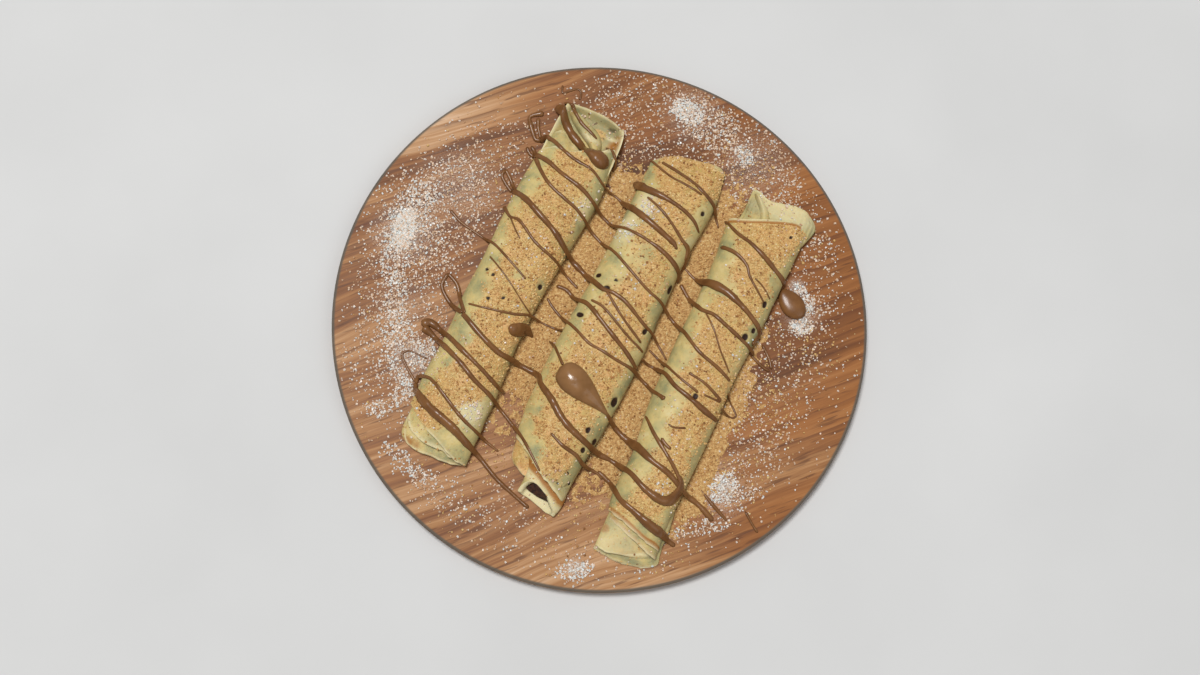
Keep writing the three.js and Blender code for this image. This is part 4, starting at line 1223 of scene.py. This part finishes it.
def bead(points, seed):
    """One run of chocolate as rings of a rounded bead with tapered ends."""
    line, places = sampled(points, run_pitch)
    step = places[1] - places[0]
    heading = np.gradient(line[:, :2], axis=0)
    heading /= np.linalg.norm(heading, axis=1)[:, None]
    side = np.stack([-heading[:, 1], heading[:, 0]], 1)
    swell = 1 + bead_swell * lumps(places, 0 * places, 5, seed)
    swell = swell + 0.6 * bead_swell * lumps(places, 0 * places, 2, seed + 1)
    half = 0.5 * line[:, 2] * swell
    blunt = rounded(np.minimum(places, places[-1] - places) / np.maximum(half, 0.3))
    rails = np.array([-rail_share, 0.0, rail_share])
    rail_x = line[:, 0, None] + side[:, 0, None] * half[:, None] * rails
    rail_y = line[:, 1, None] + side[:, 1, None] * half[:, None] * rails
    rest = draped(height_under(rail_x, rail_y), step)
    tilt = (rest[:, 2] - rest[:, 0]) / 2
    upright = np.clip(tilt, -steepest_side * half, steepest_side * half)
    rest = rest + side_lift * np.abs(tilt - upright)[:, None]
    tilt = upright
    arch = (rest[:, 2] + rest[:, 0]) / 2 - rest[:, 1]
    angle = np.linspace(0, 2 * math.pi, run_columns)
    angle[-1] = 0
    across = np.cos(angle)[None, :] * blunt[:, None]
    base = rest[:, 1, None] + tilt[:, None] * across / rail_share
    base = base + np.minimum(arch, 0)[:, None] * (across / rail_share) ** 2
    up = np.sin(angle)[None, :]
    thick = np.where(up > 0, bead_rise, bead_sink) * 2 * half[:, None] * blunt[:, None]
    x = line[:, 0, None] + side[:, 0, None] * half[:, None] * across
    y = line[:, 1, None] + side[:, 1, None] * half[:, None] * across
    z = base + bed_lift + thick * up
    return np.stack([x, y, z], -1) * MM


def chocolate_finish(name, roughness, low, high, depth):
    material, tree, shader = new_finish(name, roughness)
    place = object_place(tree)
    colour = ramp(tree, cloud(tree, place, 130, 2), [(0.3, low), (0.7, high)])
    paint_with(tree, shader, colour)
    relief(tree, shader, cloud(tree, place, 300, 2), depth, 0.5)
    shader.inputs["Specular IOR Level"].default_value = 0.35
    return material


tones = paint(105, 68, 36), paint(128, 87, 49)
milk_chocolate = chocolate_finish("milk_chocolate", 0.27, *tones, 0.22 * MM)
beads = (pod(bead(points, 200 + order)) for order, points in enumerate(runs.values()))
drizzle = finish_mesh(joined(beads), "chocolate_drizzle", milk_chocolate)
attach(drizzle, "root")
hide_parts("board", "crepe_left", "crepe_middle", "crepe_right")


# ---- Chocolate drop and pool --------------------------------------------------------------
# The bottle rested twice: once on the middle roll, which left a tear-shaped drop with a long
# tail, and once on the board beside the right roll, which left a thick oval pool.

# The drop's chocolate is glossier, and painted paler as painted sheen: the broad reflection of
# the sky on its surface. A levelled pat sinks flat over the edge of a roll.
tones = paint(121, 85, 50), paint(141, 102, 64)
sheened_drop_chocolate = chocolate_finish("sheened_drop_chocolate", 0.14, *tones, 0.1 * MM)
pats = {
    "chocolate_drop": {
        "from": (-25.6, -30.5), "to": (2.7, -58.4), "height": 4.6, "finish": sheened_drop_chocolate,
        "levelled": False,
        "widths": [
            (0, 0.8), (0.05, 5.4), (0.12, 7.4), (0.25, 8.6), (0.42, 7.8), (0.6, 5.8), (0.8, 3),
            (1, 0.7),
        ],
    },
    "chocolate_pool": {
        "from": (108, 19), "to": (120.5, 2), "height": 3.4, "finish": milk_chocolate,
        "levelled": True,
        "widths": [(0, 1.5), (0.15, 4.4), (0.4, 6.6), (0.65, 7), (0.88, 4.8), (1, 1.8)],
    },
}
pat_rows, pat_columns = 60, 49
pat_gap = 0.1
pat_end, pat_side, pat_sunk, pat_lift = 1.2, 0.8, 0.25, 0.35


def pat_shape(spec):
    share = 0.5 - 0.5 * np.cos(np.linspace(0, math.pi, pat_rows))
    start, end = np.array(spec["from"]), np.array(spec["to"])
    axis = end - start
    side = np.array([axis[1], -axis[0]]) / np.linalg.norm(axis)
    half = curve(spec["widths"])(share)
    ends = np.minimum(share, 1 - share) * np.linalg.norm(axis)
    half = half * rounded(ends / pat_end)
    widest = max(width for _, width in spec["widths"])
    angle = np.linspace(0, 2 * math.pi, pat_columns)
    angle[-1] = 0
    across = half[:, None] * np.cos(angle)[None, :]
    x = start[0] + share[:, None] * axis[0] + across * side[0]
    y = start[1] + share[:, None] * axis[1] + across * side[1]
    rest = height_under(x, y)
    if spec["levelled"]:
        rest = (rest + rest[:, [0]]) / 2
    up = np.sin(angle)[None, :]
    thick = spec["height"] * np.sqrt(half / widest)[:, None]
    sunk = -pat_sunk * half[:, None] / widest * np.abs(up)
    lift = np.where(up > 0, thick * np.abs(up) ** pat_side, sunk)
    return np.stack([x, y, rest + pat_gap + pat_lift + lift], -1) * MM


for name, spec in pats.items():
    pat = finish_mesh(pod(pat_shape(spec)), f"{name}_set", spec["finish"])
    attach(pat, "root")
    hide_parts(name)


# ---- Crumbs -------------------------------------------------------------------------------
# Toasted biscuit crumbs, shaken over the rolls before the chocolate. They lie thickest on the
# tops of the rolls and in the gaps between them, and thin out over the board.

grain_size = (0.5, 1.6)
crumbs_per_roll = 8200
crumbs_on_board = 9800
keep_off_chocolate = 0.5
# Where along and across a roll crumbs are tried, and how many tries there are for each one.
crumb_reach, crumb_left, crumb_right = 118, -26, 27
tries_on_roll, tries_on_board = 4, 9
# Crumbs and sugar keep off this share of a run's half width, and the gap above.
crumbs_clear, sugar_clear = 0.9, 0.7
line_pitch = 0.7
# Chance of a crumb where the roll is bare, and beside the roll.
bare_chance, beside_chance = 0.02, 0.015
# A grain this much higher than the board lies on a roll.
roll_rise = 1
# Widths over which the crumbs on the board thin out: beside a roll, further out and at the rim.
strip_fade, patch_fringe, rim_fringe = 3, 14, 8
# How much each grain is squashed and how jagged it is, and the tone of most grains.
grain_squash, grain_jag = (0.65, 1.25), (0.8, 1.2)
golden, golden_spread, burnt_share = 0.36, 0.16, 0.05

# Strips of crumbs beside a roll, as roll, inner t, (s, outer t) and (s, thickness) along it.
crumb_strips = [
    (
        "left", 17, [(0, 46)],
        [(-108, 0), (-92, 0.8), (-60, 1), (34, 1), (54, 0.8), (70, 0.45), (86, 0.32), (110, 0.06)],
    ),
    (
        "middle", 19, [(0, 46)],
        [(-112, 0), (-96, 0.7), (-60, 1), (56, 1), (76, 0.85), (94, 0.55), (110, 0.3), (124, 0.06)],
    ),
    (
        "right", 15, [(-90, 17), (-66, 20), (-12, 31), (60, 32), (100, 30)],
        [(-96, 0), (-76, 0.3), (-60, 0.8), (-20, 1), (60, 0.9), (84, 0.5), (106, 0.1)],
    ),
]
# Looser patches on the board, as x, y, radius and thickness.
crumb_patches = [
    (88, 84, 16, 0.3), (72, 98, 10, 0.22), (-60, 92, 12, 0.16), (100, 66, 12, 0.3),
    (128, 50, 12, 0.1), (-8, -108, 20, 0.2), (62, -88, 22, 0.35), (96, -50, 22, 0.25),
    (120, -16, 18, 0.16),
]


def board_crumbs(x, y):
    """How thickly crumbs lie on the board, from 0 to 1."""
    ragged = lumps(x, y, 9, 301) + 0.6 * lumps(x, y, 3.5, 302)
    thick = np.zeros(np.broadcast(x, y).shape)
    for side, first, outer, along in crumb_strips:
        s, t = plan_of(crepes[side], x, y)
        last = np.interp(s, [place for place, _ in outer], [reach for _, reach in outer])
        within = ease((t - first) / strip_fade)
        within = within * ease(0.5 + (last - t + 4 * ragged) / patch_fringe)
        share = np.interp(s, [place for place, _ in along], [amount for _, amount in along])
        thick = np.maximum(thick, within * share * (0.9 + 0.1 * ragged))
    for patch_x, patch_y, radius, amount in crumb_patches:
        far = np.hypot(x - patch_x, y - patch_y) / radius
        thick = np.maximum(thick, amount * np.exp(-far ** 2) * (1 + 0.5 * ragged))
    on_board = ease((board_radius / MM - 4 - np.hypot(x, y)) / rim_fringe)
    return np.clip(thick, 0, 1) * on_board


def chocolate_lines():
    """Plan points along every run, with their half widths, for what has to keep clear of them."""
    lines = np.concatenate([sampled(points, line_pitch)[0] for points in runs.values()])
    finder = KDTree(len(lines))
    for index, (x, y, _) in enumerate(lines):
        finder.insert((x, y, 0), index)
    finder.balance()
    return finder, lines[:, 2] / 2


line_finder, line_halves = chocolate_lines()


def clear_of_chocolate(x, y, share):
    def clear(px, py):
        _, index, distance = line_finder.find((px, py, 0))
        return distance > line_halves[index] * share + keep_off_chocolate
    return np.array([clear(px, py) for px, py in zip(x, y)], bool)


def turns_of(rng, count):
    """Random turns, as one rotation matrix a grain."""
    quaternions = rng.normal(size=(count, 4))
    quaternions /= np.linalg.norm(quaternions, axis=1)[:, None]
    w, x, y, z = quaternions.T
    rows = [
        [1 - 2 * (y * y + z * z), 2 * (x * y - z * w), 2 * (x * z + y * w)],
        [2 * (x * y + z * w), 1 - 2 * (x * x + z * z), 2 * (y * z - x * w)],
        [2 * (x * z - y * w), 2 * (y * z + x * w), 1 - 2 * (x * x + y * y)],
    ]
    return np.array(rows).transpose(2, 0, 1)


def scattered(name, seed_shape, places, sizes, tones, seed, material):
    """One mesh of many grains: each is the seed shape, squashed, turned and set in its place."""
    rng = np.random.default_rng(seed)
    corners = np.array([vert.co for vert in seed_shape.verts])
    faces = np.array([[vert.index for vert in face.verts] for face in seed_shape.faces])
    count = len(places)
    squash = rng.uniform(*grain_squash, (count, 1, 3))
    jagged = rng.uniform(*grain_jag, (count, len(corners), 1))
    grains = corners[None] * squash * jagged * sizes[:, None, None]
    grains = np.einsum("nij,nkj->nki", turns_of(rng, count), grains)
    grains = grains + np.asarray(places)[:, None, :]
    numbers = faces[None] + len(corners) * np.arange(count)[:, None, None]
    numbers = numbers.reshape(-1, faces.shape[1])
    mesh = bpy.data.meshes.new(name)
    mesh.from_pydata(grains.reshape(-1, 3).tolist(), [], numbers.tolist())
    tone = mesh.attributes.new("tone", "FLOAT", "POINT")
    tone.data.foreach_set("value", np.repeat(tones, len(corners)).astype(np.float32))
    mesh.materials.append(material)
    piece = bpy.data.objects.new(name, mesh)
    bpy.context.scene.collection.objects.link(piece)
    return piece


def crumb_finish():
    material, tree, shader = new_finish("biscuit_crumb", 0.75)
    place = object_place(tree)
    tone = value_of(tree, "tone")
    stops = [
        (0.0, paint(232, 212, 160)), (0.3, paint(214, 180, 118)), (0.6, paint(196, 152, 92)),
        (0.82, paint(160, 108, 56)), (1.0, paint(112, 68, 32)),
    ]
    colour = ramp(tree, tone, stops)
    colour = stained(tree, colour, cloud(tree, place, 1500, 2), 0.3, paint(196, 144, 84))
    paint_with(tree, shader, colour)
    relief(tree, shader, cloud(tree, place, 2200, 2), 0.1 * MM)
    return material


def grain_seed():
    bm = bmesh.new()
    bmesh.ops.create_icosphere(bm, subdivisions=1, radius=0.5 * MM)
    bm.verts.index_update()
    return bm


def crumb_tones(rng, x, y):
    """Mostly golden grains, with browner ones in small clusters."""
    count = len(x)
    browner = 0.35 * ease((lumps(x, y, 2.2, 61) - 0.35) / 0.3)
    tones = np.clip(rng.normal(golden, golden_spread, count), 0, 0.8) + browner
    burnt = rng.random(count) < burnt_share
    return np.where(burnt, rng.uniform(0.8, 1, count), np.minimum(tones, 1))


def crumb_sizes(rng, count):
    """Mostly fine grains, with a few coarse ones."""
    fine, coarse = grain_size
    return fine + (coarse - fine) * rng.random(count) ** 2


def clear_of_holes(crepe, s, t):
    """Crumbs fall through the holes of the sheet, so none stay in them."""
    clear = np.ones(len(s), bool)
    for hole_s, hole_t, radius_s, radius_t in crepe["holes"]:
        clear &= np.hypot((s - hole_s) / radius_s, (t - hole_t) / radius_t) > 1.5 * hole_growth
    return clear


biscuit = crumb_finish()
grain = grain_seed()
for order, (side, crepe) in enumerate(crepes.items()):
    rng = np.random.default_rng(400 + order)
    tries = tries_on_roll * crumbs_per_roll
    s = rng.uniform(-crumb_reach, crumb_reach, tries)
    t = rng.uniform(crumb_left, crumb_right, tries)
    outer = crepe["parts"][0]
    on_roll = (s > outer.start(t) + 0.5) & (s < outer.end(t) - 0.5)
    on_roll &= (t > outer.left(s)) & (t < outer.right(s))
    thickness = np.where(on_roll, dusting(crepe, s, t) ** 1.2 + bare_chance, beside_chance)
    keep = (rng.random(tries) < thickness) & clear_of_holes(crepe, s, t)
    x, y = plan_point(crepe, s[keep], t[keep])
    keep = clear_of_chocolate(x, y, crumbs_clear)
    x, y = x[keep][:crumbs_per_roll], y[keep][:crumbs_per_roll]
    z = height_under(x, y)
    on_top = z > board_thickness / MM + roll_rise
    x, y, z = x[on_top], y[on_top], z[on_top]
    count = len(x)
    sizes = crumb_sizes(rng, count)
    places = np.stack([x, y, z + 0.1 * sizes], 1) * MM
    tones = crumb_tones(rng, x, y)
    crumbs = scattered(f"crumbs_{side}", grain, places, sizes, tones, 410 + order, biscuit)
    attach(crumbs, "root")


# ---- Crumbs on the board ------------------------------------------------------------------
# The crumbs that missed the rolls. Where they lie thick they hide the wood as a low uneven bed,
# with loose crumbs over it, and further out single crumbs lie on the bare board.

bed_pitch = 1.25
bed_depth = 0.9
bed_sunk = 0.45
bed_wall = 0.5 * MM
strewn = 156
stray_crumbs = 0.006


def crumb_bed():
    bm = bmesh.new()
    reach = board_radius / MM - 8
    count = round(2 * reach / bed_pitch)
    places = np.linspace(-reach, reach, count)
    x, y = np.meshgrid(places, places, indexing="ij")
    thick = board_crumbs(x, y)
    uneven = 0.22 * lumps(x, y, 1.9, 311) + 0.18 * lumps(x, y, 4, 312)
    uneven = uneven * (1 + 1.2 * ease(2 - 2 * thick))
    z = board_thickness / MM - bed_sunk + bed_depth * ease(1.15 * thick) + uneven * ease(2 * thick)
    bent_grid(bm, np.stack([x, y, z], -1) * MM, {})
    sunk = board_thickness - 0.2 * MM
    hidden = [face for face in bm.faces if all(vert.co.z < sunk for vert in face.verts)]
    bmesh.ops.delete(bm, geom=hidden, context="FACES")
    bmesh.ops.recalc_face_normals(bm, faces=bm.faces)
    bmesh.ops.solidify(bm, geom=bm.faces, thickness=bed_wall)
    bmesh.ops.recalc_face_normals(bm, faces=bm.faces)
    return bm


def bed_finish():
    material, tree, shader = new_finish("crumb_bed", 0.8)
    place = object_place(tree)
    speck = cloud(tree, place, 700, 3, 0.7)
    stops = [
        (0.3, paint(134, 90, 46)), (0.45, paint(178, 134, 80)),
        (0.58, paint(200, 161, 102)), (0.72, paint(220, 196, 146)),
    ]
    colour = ramp(tree, speck, stops)
    paint_with(tree, shader, colour)
    relief(tree, shader, cloud(tree, place, 1100, 2), 0.5 * MM)
    return material


bed = finish_mesh(crumb_bed(), "crumb_bed", bed_finish())
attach(bed, "root")

rng = np.random.default_rng(420)
tries = tries_on_board * crumbs_on_board
x, y = rng.uniform(-strewn, strewn, tries), rng.uniform(-strewn, strewn, tries)
inside = np.hypot(x, y) < board_radius / MM - 3
keep = inside & (rng.random(tries) < 0.9 * board_crumbs(x, y) ** 0.9 + stray_crumbs)
x, y = x[keep], y[keep]
keep = clear_of_chocolate(x, y, crumbs_clear)
x, y = x[keep], y[keep]
z = height_under(x, y)
low = z < board_thickness / MM + 0.5
x, y = x[low][:crumbs_on_board], y[low][:crumbs_on_board]
count = len(x)
sizes = crumb_sizes(rng, count)
heaped = 0.5 * ease(1.6 * board_crumbs(x, y)) * rng.random(count)
places = np.stack([x, y, board_thickness / MM + 0.3 * sizes + heaped], 1) * MM
loose = scattered("crumbs_board", grain, places, sizes, crumb_tones(rng, x, y), 421, biscuit)
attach(loose, "root")


# ---- Sugar --------------------------------------------------------------------------------
# Coarse white sugar, thrown over the board by hand. It lies in a few thick drifts where the
# hand stopped, in loose sprays round them, and as single grains all over.

sugar_size = (0.55, 1.25)
# Drifts and sprays as x, y, long and short radius in millimetres, heading in degrees, number of
# grains, and share of clean white ones: the rest is stained by the crumbs.
drifts = [
    (-118, 57, 10, 5, 75, 950, 0.9), (-115, 64, 22, 10, 65, 700, 0.75),
    (-94, 62, 36, 19, 70, 1150, 0.25), (-124, 36, 15, 7, 80, 320, 0.8),
    (-117, 20, 62, 24, 92, 1700, 0.3), (-121, 12, 16, 5, 90, 260, 0.6),
    (-123, -2, 14, 9, 90, 260, 0.55), (-118, -17, 16, 8, 80, 320, 0.7),
    (-105, -20, 8, 6, 60, 220, 0.9), (-116, -41, 9, 5, 60, 220, 0.9), (-131, -52, 6, 4, 0, 90, 0.8),
    (-146, -28, 6, 12, 0, 50, 0.5), (-84, 74, 40, 24, 35, 700, 0.25),
    (-72, 104, 34, 14, 25, 260, 0.15), (-128, -10, 40, 14, 80, 260, 0.4),
    (-104, -40, 26, 12, 80, 150, 0.3), (54, 131, 9, 6, -30, 460, 1.0),
    (66, 123, 20, 11, -35, 440, 0.5), (30, 126, 42, 26, -8, 1200, 0.2),
    (92, 100, 34, 20, -50, 1050, 0.2), (88, 103, 6, 4, -60, 110, 0.9),
    (122, 14, 8, 4, -60, 190, 1.0), (120, -4, 6, 4, 0, 170, 0.9), (124, 40, 36, 16, -75, 600, 0.3),
    (104, -34, 44, 22, 70, 800, 0.25), (70, -100, 9, 6, 40, 380, 0.9),
    (56, -123, 16, 4, 10, 170, 0.7), (80, -106, 10, 6, 40, 120, 0.6),
    (90, -84, 20, 14, 50, 220, 0.25), (-17, -147, 8, 5, 0, 200, 1.0),
    (-118, -82, 12, 5, -40, 150, 0.8), (-104, -94, 9, 5, -30, 90, 0.4),
    (-88, -105, 24, 9, -30, 190, 0.35), (-44, -104, 26, 12, 0, 150, 0.1),
    (20, -134, 40, 14, 10, 190, 0.2), (-60, -122, 34, 12, -20, 130, 0.2),
    (4, 96, 24, 12, 60, 160, 0.1),
]
stray_sugar = 1500
sugar_on_rolls = [
    ("middle", -63, -10, 8, 90), ("middle", -45, -19, 10, 80), ("left", -58, 18, 8, 40),
    ("left", 79, 13, 9, 80), ("right", 62, 8, 10, 40),
]
stray_on_rolls = 240
thrown_on_rolls = 0.2
# Size of a cube that stands for a grain of size 1, and how high its middle lies.
sugar_cube, sugar_rest = 0.8 * MM, 0.38
# Grains roll off where the bed falls this much from a grain to a place beside it.
beside, too_steep = 0.8, 2.4


def sugar_finish():
    material, tree, shader = new_finish("white_sugar", 0.35)
    tone = value_of(tree, "tone")
    stops = [
        (0.0, paint(212, 220, 220)), (0.2, paint(226, 221, 213)), (0.45, paint(228, 208, 190)),
        (0.65, paint(216, 188, 160)), (1.0, paint(194, 154, 118)),
    ]
    paint_with(tree, shader, ramp(tree, tone, stops))
    return material


def sugar_places(rng):
    """Plan points of every grain, and its tone from 0, white, to 1, stained."""
    xs, ys, tones = [], [], []
    for x, y, long, short, heading, count, white in drifts:
        turn = math.radians(heading)
        radius = np.sqrt(rng.random(count)) * (1 + 0.3 * np.abs(rng.normal(size=count)))
        angle = rng.uniform(0, 2 * math.pi, count)
        a, b = long * radius * np.cos(angle), short * radius * np.sin(angle)
        xs.append(x + a * math.cos(turn) - b * math.sin(turn))
        ys.append(y + a * math.sin(turn) + b * math.cos(turn))
        clean = rng.random(count) < white
        tones.append(np.where(clean, rng.uniform(0, 0.45, count), rng.uniform(0.4, 1, count)))
    radius = (board_radius / MM - 3) * np.sqrt(rng.random(stray_sugar))
    angle = rng.uniform(0, 2 * math.pi, stray_sugar)
    xs.append(radius * np.cos(angle))
    ys.append(radius * np.sin(angle))
    tones.append(rng.uniform(0.2, 1, stray_sugar))
    meant = sugar_on_rolls + [(side, 0, 0, 60, stray_on_rolls // 3) for side in crepes]
    for side, s, t, radius, count in meant:
        a, b = rng.normal(0, 0.5, (2, count)) * radius
        px, py = plan_point(crepes[side], s + a, t + b * min(1, 16 / radius))
        xs.append(px)
        ys.append(py)
        tones.append(rng.uniform(0, 0.7, count))
    x, y, tone = (np.concatenate(values) for values in (xs, ys, tones))
    inside = np.hypot(x, y) < board_radius / MM - 3
    caught = np.arange(len(x)) < len(x) - sum(spot[-1] for spot in meant)
    high = height_under(x, y) > board_thickness / MM + roll_rise
    inside = inside & ~(caught & high & (rng.random(len(x)) > thrown_on_rolls))
    for crepe in crepes.values():
        inside &= clear_of_holes(crepe, *plan_of(crepe, x, y))
    return x[inside], y[inside], tone[inside]


rng = np.random.default_rng(500)
x, y, tones = sugar_places(rng)
keep = clear_of_chocolate(x, y, sugar_clear)
x, y, tones = x[keep], y[keep], tones[keep]
z = height_under(x, y)
fall = np.abs(height_under(x + beside, y) - z) + np.abs(height_under(x, y + beside) - z)
steep = fall > too_steep
x, y, z, tones = x[~steep], y[~steep], z[~steep], tones[~steep]
count = len(x)
sizes = rng.uniform(*sugar_size, count)
cube = bmesh.new()
bmesh.ops.create_cube(cube, size=sugar_cube)
cube.verts.index_update()
places = np.stack([x, y, z + sugar_rest * sizes], 1) * MM
sugar = scattered("sugar_grains", cube, places, sizes, tones, 501, sugar_finish())
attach(sugar, "root")


# ---- Floor, light and camera --------------------------------------------------------------
# A plain pale floor, one wide soft light overhead and a little to the upper left, a weak fill
# from the other side, and a camera that looks almost straight down.

floor_size = 6
floor_drop = 0.2 * MM


def floor_finish():
    material, tree, shader = new_finish("pale_floor", 0.9)
    place = object_place(tree)
    colour = mixed(tree, cloud(tree, place, 6, 4), paint(197, 197, 196), paint(213, 213, 212))
    paint_with(tree, shader, colour)
    return material


bm = bmesh.new()
bmesh.ops.create_grid(bm, x_segments=8, y_segments=8, size=floor_size / 2)
bmesh.ops.translate(bm, vec=(0, 0, -floor_drop), verts=bm.verts)
floor = finish_mesh(bm, "floor", floor_finish())


def soft_light(name, place, aim, size, power):
    lamp = bpy.data.lights.new(name, "AREA")
    lamp.size = size
    lamp.energy = power
    holder = bpy.data.objects.new(name, lamp)
    holder.location = place
    holder.rotation_euler = (Vector(aim) - Vector(place)).to_track_quat("-Z", "Y").to_euler()
    bpy.context.scene.collection.objects.link(holder)


soft_light("overhead", (-0.75, 0.6, 3.6), (0, 0, 0), 1.0, 110)
soft_light("fill", (1.8, -1.2, 2.6), (0, 0, 0), 2.4, 18.5)

world = bpy.data.worlds.new("studio")
world.use_nodes = True
world.node_tree.nodes["Background"].inputs["Color"].default_value = (1, 1, 1, 1)
world.node_tree.nodes["Background"].inputs["Strength"].default_value = 0.26
bpy.context.scene.world = world
bpy.context.scene.view_settings.view_transform = "Standard"

sight_target = Vector((-1.04, -9.96, 10)) * MM
sight_distance = 0.9
sight_tilt = math.radians(11.04)
sight_turn = math.radians(15.05)
camera_lens, sensor_width = 45.38, 36

lean, rise = math.sin(sight_tilt), math.cos(sight_tilt)
backwards = Vector((-lean * math.sin(sight_turn), -lean * math.cos(sight_turn), rise))
rightwards = (Vector((1, 0, 0)) - backwards * backwards.x).normalized()
upwards = backwards.cross(rightwards)
camera_data = bpy.data.cameras.new("camera")
camera_data.lens = camera_lens
camera_data.sensor_width = sensor_width
camera_data.clip_start = 0.01
camera = bpy.data.objects.new("camera", camera_data)
turn = Matrix((rightwards, upwards, backwards)).transposed().to_4x4()
camera.matrix_world = Matrix.Translation(sight_target + sight_distance * backwards) @ turn
bpy.context.scene.collection.objects.link(camera)
bpy.context.scene.camera = camera
